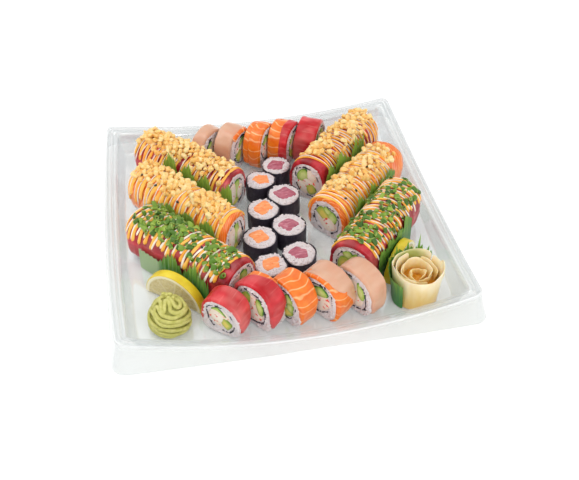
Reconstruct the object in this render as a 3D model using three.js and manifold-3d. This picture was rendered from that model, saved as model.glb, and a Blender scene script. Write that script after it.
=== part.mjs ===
// A square takeaway sushi tray: a clear thermoformed tray whose rim rises to its corners, and the
// food packed in it, each item a solid of its own.
// Millimetres. +X is right, +Y is back, +Z is up. The origin is the middle of the tray's underside.
//
// The tray holds six long dressed rolls set in two chevrons, a row of fish-topped slices at the
// front and one at the back, eight small seaweed rolls standing in the middle, seven leaves of
// plastic grass, two lemon slices, a piped wasabi rosette and a rose of pickled ginger.

import * as THREE from "three";
import { mergeVertices } from "three/addons/utils/BufferGeometryUtils.js";
import Module from "manifold-3d";

const wasm = await Module();
wasm.setup();

// ---------------------------------------------------------------- driving dimensions

const RIM_HALF = 150; // half the rim's width, measured at the corners
const RIM_BOW = 5.2; // how far the rim's sides bulge at their middles
const RIM_RADIUS = 10;
const RIM_CORNER_HEIGHT = 29.5;
const RIM_DIP = 17.7; // how far the rim sinks from a corner to a side's middle
const FLANGE_WIDTH = 10.5;
const FLANGE_DROP = 2.6; // the flange slopes down towards the food
const SEAT_STEP = 1.1; // the step in the flange that a lid sits on
const FOOT_HALF = 156.5; // half the width of the skirt's foot
const FOOT_BOW = 1.7;
const FLOOR_HALF = 132.5;
const FLOOR_BOW = 5.5;
const SHEET = 1; // thickness of the plastic

const GAP = 0.4; // clearance kept between things that touch
const REST = SHEET + GAP; // height at which the food stands

const WAIST = 0.42; // height of a roll's widest place, as a share of its height
const SLICE_SIDES = 14; // points round the section of a cut slice
const ROLL_SIDES = 12; // points round the section of a long roll
const DRIZZLE_PITCH = 12.5; // from one raised band of sauce to the next
const DRESSING_HIGH = 3.2; // thickness of the sauce and toppings on a raised band
const DRESSING_LOW = 1.4; // and between two bands
const CRUNCH_SIZE = 3.3; // half the width of a nugget of crisp batter
const SCALLION_SIZE = 2.7; // half the width of a chopped scallion ring
const TOPPINGS_PER_ROLL = 15;

const SMALL_ROLL_HEIGHT = 19.5;
const LEAF_THICKNESS = 0.6;
const LEMON_THICKNESS = 8.5;
const WASABI_RIDGE = 1.7; // height of the ridges that the star nozzle leaves
const GINGER_HEIGHT = 34;
const PETAL_THICKNESS = 2.4;

// ---------------------------------------------------------------- the layout

// Long rolls: name, middle of the cut face (x, y), way to the far end in degrees, width, height,
// length, how far the cut face is turned from square in degrees, topping.
const LONG_ROLLS = [
  ["roll_left_back", -32.4, 27.5, 133, 42.4, 40.5, 116.5, -10, "crunch"],
  ["roll_left_mid", -40.8, -34.7, 130, 39.8, 42.2, 123, -14, "crunch"],
  ["roll_left_front", -44, -94.5, 132.2, 41.3, 43, 120.5, 0, "scallion"],
  ["roll_right_back", 37.4, 28.8, 45.3, 40.5, 43.6, 107.5, -3, "crunch"],
  ["roll_right_mid", 44.2, -25.9, 44.7, 41.8, 41, 114, 4, "crunch"],
  ["roll_right_front", 51, -90.7, 49, 41.6, 44.5, 108, 0, "scallion"],
];

// Slices: fish, middle (x, y), turn of the roll's axis in degrees, width, height, length.
const FRONT_SLICES = [
  ["tuna", -60.3, -120.8, 52, 39, 38.5, 19],
  ["tuna", -31.6, -116.1, 39, 43, 44, 19.5],
  ["salmon", -4.6, -115.3, 34.5, 42.5, 41, 21.3],
  ["white", 24.6, -114.3, 37.6, 44.5, 42.5, 22.8],
  ["white", 53.4, -114.5, 33.8, 44.6, 43.5, 19.5],
];
const BACK_SLICES = [
  ["white", -49.2, 107, -46, 39.6, 40, 15.8],
  ["white", -25, 101.2, -39.2, 41.2, 41.5, 21],
  ["salmon", 2, 100.3, -34.5, 41.3, 41.9, 18.8],
  ["salmon", 27.1, 99.1, -32.6, 41, 42.1, 21.6],
  ["tuna", 53.6, 97.4, -31.3, 40.7, 42.7, 22],
];

// Small seaweed rolls: name, middle (x, y), radius, how much wider than deep, turn in degrees.
const SMALL_ROLLS = [
  ["maki_salmon_1", -6.1, 41.8, 14.4, 1.02, 10],
  ["maki_salmon_2", -10.2, -1.3, 15.3, 1.0, 40],
  ["maki_salmon_3", -19.2, -38.8, 15.6, 0.99, 75],
  ["maki_salmon_4", -15.6, -75.4, 14.9, 1.02, 20],
  ["maki_tuna_1", 12.8, 61.8, 14.3, 1.0, 0],
  ["maki_tuna_2", 12.2, 16.2, 15.7, 1.01, 55],
  ["maki_tuna_3", 8.9, -27, 15.9, 0.99, 30],
  ["maki_tuna_4", 11.2, -66, 15.7, 1.02, 65],
];

// Straight grass leaves: name, foot from (x, y) to (x, y), sideways lean of the tips, height of
// the uncut edge, and the tufts, each its distance along the leaf and the height of its tip.
const LEAVES = [
  ["grass_left_back", [-38.6, -1.2], [-97.6, 65.4], 0, 30, [3, 52.5], [31, 50], [53, 52], [74.5, 56]],
  ["grass_left_mid", [-58.1, -46.7], [-117.9, 21.9], 0, 31, [8.5, 48], [32.5, 44], [56, 43], [74, 37]],
  ["grass_left_front", [-72.6, -97.4], [-126.7, -37.8], -2.6, 20, [0.6, 30], [14.5, 43], [41.5, 38.5]],
  ["grass_right_back", [52, 13], [102.2, 63.2], 0, 31, [7.5, 46], [23, 54], [53, 51], [65, 51]],
  ["grass_right_mid", [65.8, -38.8], [121.8, 21], 0, 27, [10.5, 47.5], [33.5, 47], [53.5, 38.5], [68, 40]],
  ["grass_right_front", [74.8, -98.1], [119.4, -46.8], 1.4, 25, [4, 38], [20, 38], [39, 35], [51, 45]],
];
const GINGER_LEAF = {
  from: 225, to: 42, low: 28.6, tufts: [[4, 31], [13, 31], [27, 34], [37, 38.5], [46, 38], [53.5, 44.5], [60, 36]],
};
// The blades of a tuft: how far each is from the tallest, and its height as a share.
const TUFT = [[-4.8, 0.4], [0, 1], [2.4, 0.7], [5.6, 0.72], [8.2, 0.44], [11.4, 0.4], [14.4, 0]];
const SPIKE = [[-2.4, 0.2], [0, 1], [2.4, 0.2]];

// Lemon slices: name, middle of the cut chord (x, y), turn in degrees, radius.
const LEMONS = [
  ["lemon_left", -99.6, -82, -40, 28.5],
  ["lemon_right", 99.6, -78.4, 49, 25.5],
];

const WASABI = { x: -106.1, y: -110, radius: 19.2, height: 33 };
const GINGER = { x: 102.6, y: -113.8, foot: 18.6, top: 25 };

// ---------------------------------------------------------------- colours

const paint = (color, roughness, more = {}) =>
  new THREE.MeshStandardMaterial({ color, roughness, metalness: 0, ...more });

const CLEAR_PLASTIC = { transparent: true, opacity: 0.35 };
const FISH = { tuna: 0xc8303c, salmon: 0xf4822f, white: 0xe8b898 };
const TOPPING = { crunch: 0xeec06a, scallion: 0x86a23e };
const SEAWEED = 0x1a1622;
const GRASS = 0x2f8a3c;
const LEMON = 0xe8c424;
const WASABI_PASTE = 0xb9bf62;
const PICKLED_GINGER = 0xead49a;

// ---------------------------------------------------------------- shared helpers

const TAU = 2 * Math.PI;
const radians = THREE.MathUtils.degToRad;
const { lerp, smoothstep } = THREE.MathUtils;
const vec = (x, y, z) => new THREE.Vector3(x, y, z);

/** Numbers from 0 to 1 that come out the same on every run. */
function seededRandom(seed) {
  let state = seed >>> 0;
  return () => {
    state = (Math.imul(state, 1664525) + 1013904223) >>> 0;
    return state / 4294967296;
  };
}

/** Turns a closed geometry so that its faces point outwards. */
function facingOut(geometry) {
  const p = geometry.getAttribute("position");
  const index = geometry.index.array;
  const [a, b, c] = [vec(), vec(), vec()];
  let volume = 0;
  for (let i = 0; i < index.length; i += 3) {
    a.fromBufferAttribute(p, index[i]);
    b.fromBufferAttribute(p, index[i + 1]);
    c.fromBufferAttribute(p, index[i + 2]);
    volume += a.dot(b.cross(c));
  }
  if (volume < 0) {
    for (let i = 0; i < index.length; i += 3) {
      [index[i + 1], index[i + 2]] = [index[i + 2], index[i + 1]];
    }
  }
  return geometry;
}

/** A geometry from points and the corners of its triangles. */
function surface(points, index) {
  const geometry = new THREE.BufferGeometry().setFromPoints(points);
  geometry.setIndex(index);
  return facingOut(geometry);
}

/** Adds the wall between two rings of points, which start at a and at b in the list of points. */
function addWall(index, a, b, sides) {
  for (let i = 0; i < sides; i++) {
    const j = (i + 1) % sides;
    index.push(a + i, a + j, b + j, a + i, b + j, b + i);
  }
}

/** Closes a ring of points, which starts at a, with a fan of triangles about a hub. */
function addFan(index, points, a, sides, hub, flip) {
  points.push(hub);
  for (let i = 0; i < sides; i++) {
    const [p, q] = [a + i, a + ((i + 1) % sides)];
    index.push(points.length - 1, ...(flip ? [q, p] : [p, q]));
  }
}

const middleOf = (ring) => ring.reduce((sum, v) => sum.add(v), vec()).divideScalar(ring.length);

/** A closed solid through rings of equal length, with a fan of triangles on each end. */
function loft(rings) {
  const sides = rings[0].length;
  const points = rings.flat();
  const index = [];
  for (let k = 0; k + 1 < rings.length; k++) addWall(index, k * sides, (k + 1) * sides, sides);
  addFan(index, points, 0, sides, middleOf(rings[0]), true);
  addFan(index, points, (rings.length - 1) * sides, sides, middleOf(rings.at(-1)), false);
  return surface(points, index);
}

/** A manifold-3d solid with the same surface as a closed geometry. */
function solidOf(geometry) {
  const bare = geometry.clone().deleteAttribute("normal").deleteAttribute("uv");
  const merged = mergeVertices(bare, 1e-4);
  return new wasm.Manifold(
    new wasm.Mesh({
      numProp: 3,
      vertProperties: merged.getAttribute("position").array,
      triVerts: new Uint32Array(merged.index.array),
    }),
  );
}

/** The geometry of the union of closed geometries. */
function fused(geometries) {
  const mesh = geometries
    .map(solidOf)
    .reduce((whole, part) => whole.add(part))
    .getMesh();
  const geometry = new THREE.BufferGeometry();
  geometry.setAttribute("position", new THREE.BufferAttribute(mesh.vertProperties, 3));
  geometry.setIndex(new THREE.BufferAttribute(mesh.triVerts, 1));
  return geometry;
}

const tray = new THREE.Group();

/** Adds a named piece, placed at (x, y, z) and turned about the vertical by degrees. */
function add(name, geometry, material, x = 0, y = 0, z = 0, degrees = 0) {
  const mesh = new THREE.Mesh(geometry, material);
  mesh.name = name;
  mesh.position.set(x, y, z);
  mesh.rotation.z = radians(degrees);
  tray.add(mesh);
}

// ---------------------------------------------------------------- the tray

/** Points round a square with round corners whose sides bulge by bow at their middles. */
function bowedSquare(half, radius, bow) {
  const [sideSteps, cornerSteps] = [7, 3];
  const straight = half - radius;
  const centre = new THREE.Vector2();
  const points = [];
  for (let side = 0; side < 4; side++) {
    const turn = (side * TAU) / 4;
    for (let i = 0; i < sideSteps; i++) {
      const t = -1 + (2 * i) / sideSteps;
      const p = new THREE.Vector2(t * straight, -half - bow * (1 - t * t));
      points.push(p.rotateAround(centre, turn));
    }
    for (let i = 0; i < cornerSteps; i++) {
      const angle = (-1 + i / cornerSteps) * (TAU / 4);
      const p = new THREE.Vector2(straight + radius * Math.cos(angle), -straight + radius * Math.sin(angle));
      points.push(p.rotateAround(centre, turn));
    }
  }
  return points;
}

/** Height of the rim at a point of its outline: low at a side's middle, high at the corners. */
function rimHeight(point) {
  const t = Math.min(Math.abs(point.x), Math.abs(point.y)) / RIM_HALF;
  return RIM_CORNER_HEIGHT - RIM_DIP * (1 - t * t);
}

/** The tray: one sheet that forms floor, walls, flange and a skirt that flares to the table. */
function trayGeometry() {
  const heights = bowedSquare(RIM_HALF, RIM_RADIUS, RIM_BOW).map(rimHeight);
  /** A ring whose height is a share of the rim's height there, plus a rise. */
  const ring = (half, radius, bow, share, rise) =>
    bowedSquare(half, radius, bow).map((p, i) => vec(p.x, p.y, share * heights[i] + rise));
  const inner = RIM_HALF - FLANGE_WIDTH;
  const seat = RIM_HALF - 0.55 * FLANGE_WIDTH;
  const top = [
    ring(FOOT_HALF, 13, FOOT_BOW, 0, 0),
    ring(RIM_HALF + 1.6, 11, RIM_BOW * 0.85, 0.55, 0),
    ring(RIM_HALF, RIM_RADIUS, RIM_BOW, 1, -0.8),
    ring(RIM_HALF - 1, RIM_RADIUS - 1, RIM_BOW, 1, 0),
    ring(seat + 0.7, 6, RIM_BOW, 1, -0.5),
    ring(seat, 5.5, RIM_BOW, 1, -0.5 - SEAT_STEP),
    ring(inner, 5, RIM_BOW, 1, -FLANGE_DROP),
    ring(FLOOR_HALF + 2.2, 7, FLOOR_BOW, 0, SHEET + 2.4),
    ring(FLOOR_HALF, 8, FLOOR_BOW, 0, SHEET),
  ];
  const under = [
    ring(FLOOR_HALF + 0.6, 8, FLOOR_BOW, 0, 0),
    ring(FLOOR_HALF + 3.2, 7, FLOOR_BOW, 0, SHEET + 1.8),
    ring(inner + SHEET, 5, RIM_BOW, 1, -FLANGE_DROP - SHEET),
    ring(seat + SHEET, 5.5, RIM_BOW, 1, -0.5 - SEAT_STEP - SHEET),
    ring(RIM_HALF - 1.4, RIM_RADIUS - 1, RIM_BOW, 1, -0.5 - SEAT_STEP),
    ring(RIM_HALF + 1.6 - SHEET, 10, RIM_BOW * 0.85, 0.55, -SHEET),
    ring(FOOT_HALF - SHEET, 12, FOOT_BOW, 0, 0),
  ];
  const rings = [...top, ...under];
  const sides = heights.length;
  const points = rings.flat();
  const index = [];
  const floorTop = top.length - 1;
  for (let k = 0; k < rings.length; k++) {
    if (k !== floorTop) addWall(index, k * sides, ((k + 1) % rings.length) * sides, sides);
  }
  addFan(index, points, floorTop * sides, sides, vec(0, 0, SHEET), false);
  addFan(index, points, (floorTop + 1) * sides, sides, vec(0, 0, 0), true);
  return surface(points, index);
}

// ---------------------------------------------------------------- rolls and slices

/** A point of a roll's section at an angle: a round top on a flatter, squarer foot. */
function sectionPoint(width, height, angle) {
  const [c, s] = [Math.cos(angle), Math.sin(angle)];
  const waist = WAIST * height;
  const [reach, power] = s >= 0 ? [height - waist, 0.9] : [waist, 0.55];
  const y = (width / 2) * Math.sign(c) * Math.abs(c) ** power;
  return { y, z: waist + reach * Math.sign(s) * Math.abs(s) ** power };
}

/**
 * A ring of a roll's section at x along its axis. The ring shrinks about its waist by scale, its top
 * swells by the height of the dressing, and it slants so that its two sides lie at different places
 * along the roll. crag gives each point's share of the dressing's height.
 */
function rollRing(x, { width, height, sides, scale = 1, dressing = 0, slant = 0, shift = 0, crag = () => 1 }) {
  const ring = [];
  for (let i = 0; i < sides; i++) {
    const p = sectionPoint(width, height, ((i + 0.5) / sides) * TAU);
    const rise = dressing * crag() * smoothstep(p.z, 0.5 * height, 0.8 * height);
    const y = p.y * scale * (1 + (2 * rise) / height);
    const z = WAIST * height * (1 - scale) + p.z * scale + rise;
    ring.push(vec(x + slant * y, y + shift, z));
  }
  return ring;
}

/** A long roll along +X, from its flat cut face to its rounded far end, banded with thick sauce. */
function longRoll(width, height, length, slant, random) {
  const crag = () => 0.75 + 0.5 * random();
  const shape = { width, height, sides: ROLL_SIDES, crag };
  const rings = [
    rollRing(0, { ...shape, scale: 0.97, slant }),
    rollRing(2.5, { ...shape, slant }),
  ];
  const [start, end] = [10, length - 9];
  const bands = Math.round((end - start) / DRIZZLE_PITCH);
  const pitch = (end - start) / bands;
  for (let k = 0; k < bands; k++) {
    const x = start + k * pitch;
    const band = { ...shape, shift: (random() - 0.5) * 0.8, scale: 1 - 0.02 * random(), slant: slant * (1 - k / bands) };
    rings.push(rollRing(x, { ...band, dressing: DRESSING_LOW }));
    rings.push(rollRing(x + pitch / 2, { ...band, dressing: DRESSING_HIGH }));
  }
  rings.push(rollRing(length - 8, { ...shape, scale: 0.98, dressing: DRESSING_LOW }));
  rings.push(rollRing(length - 3, { ...shape, scale: 0.86 }));
  rings.push(rollRing(length, { ...shape, scale: 0.62 }));
  return loft(rings);
}

/** One bit of topping, about size from its middle to its edge: a crisp nugget or a scallion ring. */
function toppingBit(kind, size, random) {
  const grow = size * (0.8 + 0.45 * random());
  if (kind === "scallion") return new THREE.CylinderGeometry(grow, grow, 1.3 * size, 6);
  const nugget = new THREE.IcosahedronGeometry(grow, 0);
  return nugget.scale(1, 0.8 + 0.3 * random(), 0.75 + 0.3 * random());
}

/** The toppings of a long roll, spread evenly along it and, by the golden ratio, across its top. */
function toppings(kind, width, height, length, random) {
  const size = kind === "crunch" ? CRUNCH_SIZE : SCALLION_SIZE;
  const bits = [];
  for (let i = 0; i < TOPPINGS_PER_ROLL; i++) {
    const x = 12 + ((i + 0.2 + 0.6 * random()) / TOPPINGS_PER_ROLL) * (length - 24);
    const across = ((i * 0.618034) % 1) * 2 - 1;
    const p = sectionPoint(width, height, TAU / 4 + across * 0.72);
    const bit = toppingBit(kind, size, random);
    bit.rotateX((random() - 0.3) * 2).rotateZ(random() * TAU);
    bits.push(bit.translate(x, p.y, p.z + DRESSING_LOW + size * 0.4));
  }
  return bits;
}

/** A slice of a fish-topped roll along X, cut flat on both sides. */
function slice(width, height, length) {
  const shape = { width, height, sides: SLICE_SIDES };
  return loft([
    rollRing(-length / 2, { ...shape, scale: 0.95 }),
    rollRing(-length / 2 + 2.5, shape),
    rollRing(length / 2 - 2.5, shape),
    rollRing(length / 2, { ...shape, scale: 0.95 }),
  ]);
}

/** Where a small roll is pressed flat by the others: each way, and how far its middle is from there. */
function presses(name, x, y, radius, degrees) {
  return SMALL_ROLLS.filter(([other]) => other !== name).map(([, otherX, otherY, otherRadius]) => {
    const apart = Math.hypot(otherX - x, otherY - y);
    const way = Math.atan2(otherY - y, otherX - x) - radians(degrees);
    return { way, flat: (apart * radius) / (radius + otherRadius) - 0.25 };
  });
}

/** A small seaweed roll standing on end: an uneven round, flat where it is pressed, with a low crown of rice. */
function smallRoll(radius, stretch, pressed) {
  const sides = 16;
  const ring = (z, inset) =>
    Array.from({ length: sides }, (_, i) => {
      const angle = (i / sides) * TAU;
      let r = radius * (1 + 0.02 * Math.sin(3 * angle + radius) + (stretch - 1) * Math.cos(2 * angle));
      for (const { way, flat } of pressed) {
        const facing = Math.cos(angle - way);
        if (facing > 0.2) r = Math.min(r, flat / facing);
      }
      return vec((r - inset) * Math.cos(angle), (r - inset) * Math.sin(angle), z);
    });
  const top = SMALL_ROLL_HEIGHT;
  return loft([ring(0, 0.3), ring(top - 1, 0), ring(top, 1.4), ring(top + 0.9, radius * 0.5)]);
}

// ---------------------------------------------------------------- grass and lemon

/** The upper edge of a grass leaf: the blades of each tuft, cut down to the leaf's low edge. */
function grassEdge(length, low, tufts, blades) {
  const edge = [{ at: 0, z: low }];
  for (const [middle, tip] of tufts) {
    for (const [offset, share] of blades) {
      const at = middle + offset;
      if (at > edge.at(-1).at + 1.5 && at < length - 1.5) edge.push({ at, z: lerp(low, tip, share) });
    }
  }
  edge.push({ at: length, z: low });
  return edge;
}

/**
 * A leaf of plastic grass: a thin sheet with a pointed upper edge. place(at, z) gives the middle
 * of the sheet at a distance along it and a height, and facing(at) its normal.
 */
function grassLeaf(place, facing, edge) {
  const last = edge.length - 1;
  const levels = 3;
  const points = [];
  for (const side of [-0.5, 0.5]) {
    for (const { at, z: top } of edge) {
      for (const z of [0, 0.55 * edge[0].z, top]) {
        points.push(place(at, z).addScaledVector(facing(at), side * LEAF_THICKNESS));
      }
    }
  }
  const id = (side, i, k) => (side * (last + 1) + i) * levels + k;
  const index = [];
  const quad = (a, b, c, d) => index.push(a, b, c, a, c, d);
  const crossed = (a, b, c, d) => index.push(a, c, b, a, d, c);
  for (let i = 0; i < last; i++) {
    for (let k = 0; k + 1 < levels; k++) {
      quad(id(0, i, k), id(0, i + 1, k), id(0, i + 1, k + 1), id(0, i, k + 1));
      crossed(id(1, i, k), id(1, i + 1, k), id(1, i + 1, k + 1), id(1, i, k + 1));
    }
    quad(id(0, i, 0), id(1, i, 0), id(1, i + 1, 0), id(0, i + 1, 0));
    crossed(id(0, i, 2), id(1, i, 2), id(1, i + 1, 2), id(0, i + 1, 2));
  }
  for (let k = 0; k + 1 < levels; k++) {
    quad(id(0, 0, k), id(0, 0, k + 1), id(1, 0, k + 1), id(1, 0, k));
    crossed(id(0, last, k), id(0, last, k + 1), id(1, last, k + 1), id(1, last, k));
  }
  return surface(points, index);
}

/** A straight leaf from the origin along +X whose tips lean sideways. */
function straightLeaf(length, lean, low, tufts) {
  const tallest = Math.max(...tufts.map(([, tip]) => tip));
  const place = (at, z) => vec(at, 0.3 * Math.sin(at / 9) + lean * (z / tallest) ** 2, z);
  return grassLeaf(place, () => vec(0, 1, 0), grassEdge(length, low, tufts, TUFT));
}

/** A leaf curled round the origin, from one angle to another in degrees; its front end stands off. */
function curledLeaf(radius, { from, to, low, tufts }) {
  const length = radians(Math.abs(to - from)) * radius;
  const angle = (at) => radians(lerp(from, to, at / length));
  const facing = (at) => vec(Math.cos(angle(at)), Math.sin(angle(at)), 0);
  const loose = (at) => 1.6 * THREE.MathUtils.smoothstep(angle(at), radians(172), radians(208));
  const place = (at, z) => facing(at).multiplyScalar(radius + loose(at) + 5.6 * (z / GINGER_HEIGHT) ** 1.5).setZ(z);
  return grassLeaf(place, facing, grassEdge(length, low, tufts, SPIKE));
}

/** Half a lemon slice standing on its cut chord along X, its peel arched above. */
function lemonSlice(radius) {
  const arch = new THREE.Shape();
  arch.moveTo(-radius, 0);
  arch.lineTo(radius, 0);
  arch.absarc(0, 0, radius, 0, Math.PI, false);
  const edge = 0.8; // width of the slice's worn edges
  const geometry = new THREE.ExtrudeGeometry(arch, {
    depth: LEMON_THICKNESS - 2 * edge,
    bevelEnabled: true,
    bevelThickness: edge,
    bevelSize: edge,
    bevelOffset: -edge,
    bevelSegments: 1,
    curveSegments: 12,
  });
  return geometry.translate(0, 0, edge - LEMON_THICKNESS / 2).rotateX(TAU / 4);
}

// ---------------------------------------------------------------- wasabi and ginger

/** A coil of paste from a star nozzle: a ridged ring round the axis at a height. */
function pasteCoil(coilRadius, strandRadius, z, steps) {
  const lobes = 6;
  const points = [];
  for (let i = 0; i < steps; i++) {
    const around = (i / steps) * TAU;
    for (let j = 0; j < 2 * lobes; j++) {
      const roll = (j / (2 * lobes)) * TAU;
      const r = strandRadius + (j % 2 ? -0.5 : 0.5) * WASABI_RIDGE;
      const out = coilRadius + r * Math.cos(roll);
      points.push(vec(out * Math.cos(around), out * Math.sin(around), z + r * Math.sin(roll)));
    }
  }
  const index = [];
  for (let i = 0; i < steps; i++) addWall(index, i * 2 * lobes, ((i + 1) % steps) * 2 * lobes, 2 * lobes);
  return surface(points, index);
}

/** The pulled-up tip of the rosette: a ridged cone that twists and leans. */
function pasteTip(radius, height) {
  const lobes = 6;
  const levels = [0, 0.35, 0.7, 1];
  return loft(
    levels.map((t) =>
      Array.from({ length: 2 * lobes }, (_, j) => {
        const angle = (j / (2 * lobes)) * TAU + 0.9 * t;
        const ridge = (j % 2 ? -0.5 : 0.5) * WASABI_RIDGE * (1 - 0.7 * t);
        const r = radius * Math.sqrt(1 - t * t) + 1 + ridge;
        return vec(r * Math.cos(angle) - 2 * t, r * Math.sin(angle) + 2 * t, t * height);
      }),
    ),
  );
}

/** The wasabi rosette: two coils and a tip, with the paste between them filled in. */
function rosette(radius, height) {
  const [lower, upper] = [8.2, 7.2]; // radius of the strand in the two coils
  const ridge = WASABI_RIDGE / 2;
  const coreHeight = 0.7 * height;
  const core = new THREE.CylinderGeometry(radius * 0.3, radius * 0.6, coreHeight, 10);
  core.rotateX(TAU / 4).translate(0, 0, coreHeight / 2);
  const bottom = pasteCoil(radius - lower - ridge, lower, lower + ridge, 16);
  const top = pasteCoil(radius * 0.44, upper, height * 0.55, 12);
  const tip = pasteTip(radius * 0.52, height * 0.35).translate(0, 0, height * 0.65);
  return fused([core, bottom, top, tip]);
}

/** The ginger rose: thin slices wound into a spiral that flares at the top, on a solid heart. */
function gingerRose(foot, top) {
  const heartHeight = 0.68 * GINGER_HEIGHT;
  const heart = new THREE.CylinderGeometry(foot * 0.95, foot * 0.85, heartHeight, 12);
  heart.rotateX(TAU / 4).translate(0, 0, heartHeight / 2);
  const [steps, turns, half] = [40, 2.8, PETAL_THICKNESS / 2];
  const rings = [];
  for (let i = 0; i <= steps; i++) {
    const u = i / steps;
    const angle = turns * TAU * (u - 1) + radians(-35);
    const out = vec(Math.cos(angle), Math.sin(angle), 0);
    const share = lerp(0.14, 1, u ** 0.9);
    const wrapped = u > 1 - 1.05 / turns; // the outermost slice goes down to the floor
    const root = wrapped ? 0 : GINGER_HEIGHT * 0.55;
    const high = share * (top - half) + 0.6 * Math.sin(5 * angle);
    const low = lerp(share * (foot - half), high, root / GINGER_HEIGHT);
    const lip = GINGER_HEIGHT * (0.94 + 0.05 * Math.sin(2.3 * angle)) + 3.5 * Math.max(0, out.y) * u;
    const at = (r, z) => out.clone().multiplyScalar(r).setZ(z);
    rings.push([at(low - half, root), at(low + half, root), at(high + 0.7 * half, lip), at(high - 0.7 * half, lip)]);
  }
  return fused([heart, loft(rings)]);
}

// ---------------------------------------------------------------- putting it together

add("tray", trayGeometry(), paint(0xf4f7f6, 0.08, CLEAR_PLASTIC));

LONG_ROLLS.forEach(([name, x, y, degrees, width, height, length, turned, kind], i) => {
  const random = seededRandom(101 + 37 * i);
  const roll = longRoll(width, height, length, Math.tan(radians(turned)), random);
  const bits = toppings(kind, width, height, length, random);
  add(name, fused([roll, ...bits]), paint(TOPPING[kind], 0.55), x, y, REST, degrees);
});

for (const [row, slices] of Object.entries({ front: FRONT_SLICES, back: BACK_SLICES })) {
  slices.forEach(([fish, x, y, degrees, width, height, length], i) =>
    add(`slice_${row}_${i + 1}`, slice(width, height, length), paint(FISH[fish], 0.35), x, y, REST, degrees),
  );
}

for (const [name, x, y, radius, stretch, degrees] of SMALL_ROLLS) {
  const roll = smallRoll(radius, stretch, presses(name, x, y, radius, degrees));
  add(name, roll, paint(SEAWEED, 0.5), x, y, REST, degrees);
}

for (const [name, from, to, lean, low, ...tufts] of LEAVES) {
  const foot = new THREE.Vector2(to[0] - from[0], to[1] - from[1]);
  const leaf = straightLeaf(foot.length(), lean, low, tufts);
  add(name, leaf, paint(GRASS, 0.35), ...from, REST, THREE.MathUtils.radToDeg(foot.angle()));
}
add("grass_ginger", curledLeaf(GINGER.foot + 1.2, GINGER_LEAF), paint(GRASS, 0.35), GINGER.x, GINGER.y, REST);

for (const [name, x, y, degrees, radius] of LEMONS) {
  add(name, lemonSlice(radius), paint(LEMON, 0.45), x, y, REST, degrees);
}
add("wasabi", rosette(WASABI.radius, WASABI.height), paint(WASABI_PASTE, 0.6), WASABI.x, WASABI.y, REST);
add("ginger", gingerRose(GINGER.foot, GINGER.top), paint(PICKLED_GINGER, 0.4), GINGER.x, GINGER.y, REST);

export default tray;
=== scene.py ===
import bpy
import math
import numpy as np
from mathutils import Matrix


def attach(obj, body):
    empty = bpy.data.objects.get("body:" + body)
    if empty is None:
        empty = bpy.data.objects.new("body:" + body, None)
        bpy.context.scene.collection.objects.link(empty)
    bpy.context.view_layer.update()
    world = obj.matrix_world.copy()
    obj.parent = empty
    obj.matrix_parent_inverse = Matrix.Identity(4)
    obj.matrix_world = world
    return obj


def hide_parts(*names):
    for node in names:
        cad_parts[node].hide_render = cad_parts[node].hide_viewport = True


# Looks of the takeaway sushi tray. Sizes are in millimetres in the tables and functions, and turn
# into metres in make(). +X is right, +Y is back, +Z is up.
# A roll has its own frame: x runs along it, and an angle goes round its section from its +y flank (0)
# over the top (a quarter turn) to its -y flank (half a turn).

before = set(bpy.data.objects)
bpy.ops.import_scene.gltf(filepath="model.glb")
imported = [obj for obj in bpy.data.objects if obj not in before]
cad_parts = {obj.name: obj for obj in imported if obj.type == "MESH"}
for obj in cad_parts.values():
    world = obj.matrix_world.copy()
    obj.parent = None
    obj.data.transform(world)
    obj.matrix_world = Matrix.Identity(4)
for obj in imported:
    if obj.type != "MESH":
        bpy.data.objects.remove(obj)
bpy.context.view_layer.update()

TAU = 2 * math.pi
QUARTER = math.pi / 2

# ---------------------------------------------------------------- sizes and places

RIM_HALF, RIM_BOW, RIM_RADIUS = 150.0, 5.2, 10.0
RIM_CORNER_HEIGHT, RIM_DIP = 29.5, 17.7
FLANGE_WIDTH, FLANGE_DROP, SEAT_STEP = 10.5, 2.6, 1.1
FOOT_HALF, FOOT_BOW = 156.5, 1.7
FLOOR_HALF, FLOOR_BOW = 132.5, 5.5
SHEET = 1.0
REST = 1.4  # height at which the food stands
WAIST = 0.42  # height of a roll's widest place, as a share of its height
FISH_THICK = 3.1
RICE_THICK = 4.7  # rice between the fish and the seaweed

# Long rolls: name, middle of the cut face (x, y), way to the far end in degrees, width, height,
# length, how far the cut face is turned from square, fish, topping.
LONG_ROLLS = [
    ("roll_left_back", -32.4, 27.5, 133, 42.4, 40.5, 116.5, -10, "tuna", "crunch"),
    ("roll_left_mid", -40.8, -34.7, 130, 39.8, 42.2, 123, -14, "salmon", "crunch"),
    ("roll_left_front", -44, -94.5, 132.2, 41.3, 43, 120.5, 0, "tuna", "scallion"),
    ("roll_right_back", 37.4, 28.8, 45.3, 40.5, 43.6, 107.5, -3, "tuna", "crunch"),
    ("roll_right_mid", 44.2, -25.9, 44.7, 41.8, 41, 114, 4, "salmon", "crunch"),
    ("roll_right_front", 51, -90.7, 49, 41.6, 44.5, 108, 0, "tuna", "scallion"),
]
# Sauce on a long roll: pitch of its stripes, width of an orange and of a white stripe, how far its
# first stripe is from the cut face and its last from the far end, the slant of the stripes along
# the roll, the degrees round the section at which they end, and by how many degrees the last ones
# are shorter.
SAUCES = {
    "roll_left_back": (6.4, 3.0, 1.2, 6, -3, -5, 14, 168, 0),
    "roll_left_mid": (6.2, 3.9, 1.2, 5, 3, -5, 2, 170, 0),
    "roll_left_front": (6.7, 3.1, 1.9, 7.5, 3, -6, 24, 160, 0),
    "roll_right_back": (4.8, 1.6, 0.9, 9, 3, 4, 20, 174, 0),
    "roll_right_mid": (4.7, 2.1, 1.1, 4, -17, 4, 20, 176, 62),
    "roll_right_front": (5.0, 1.9, 1.2, 7, 3, 5, 20, 158, 0),
}
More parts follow.
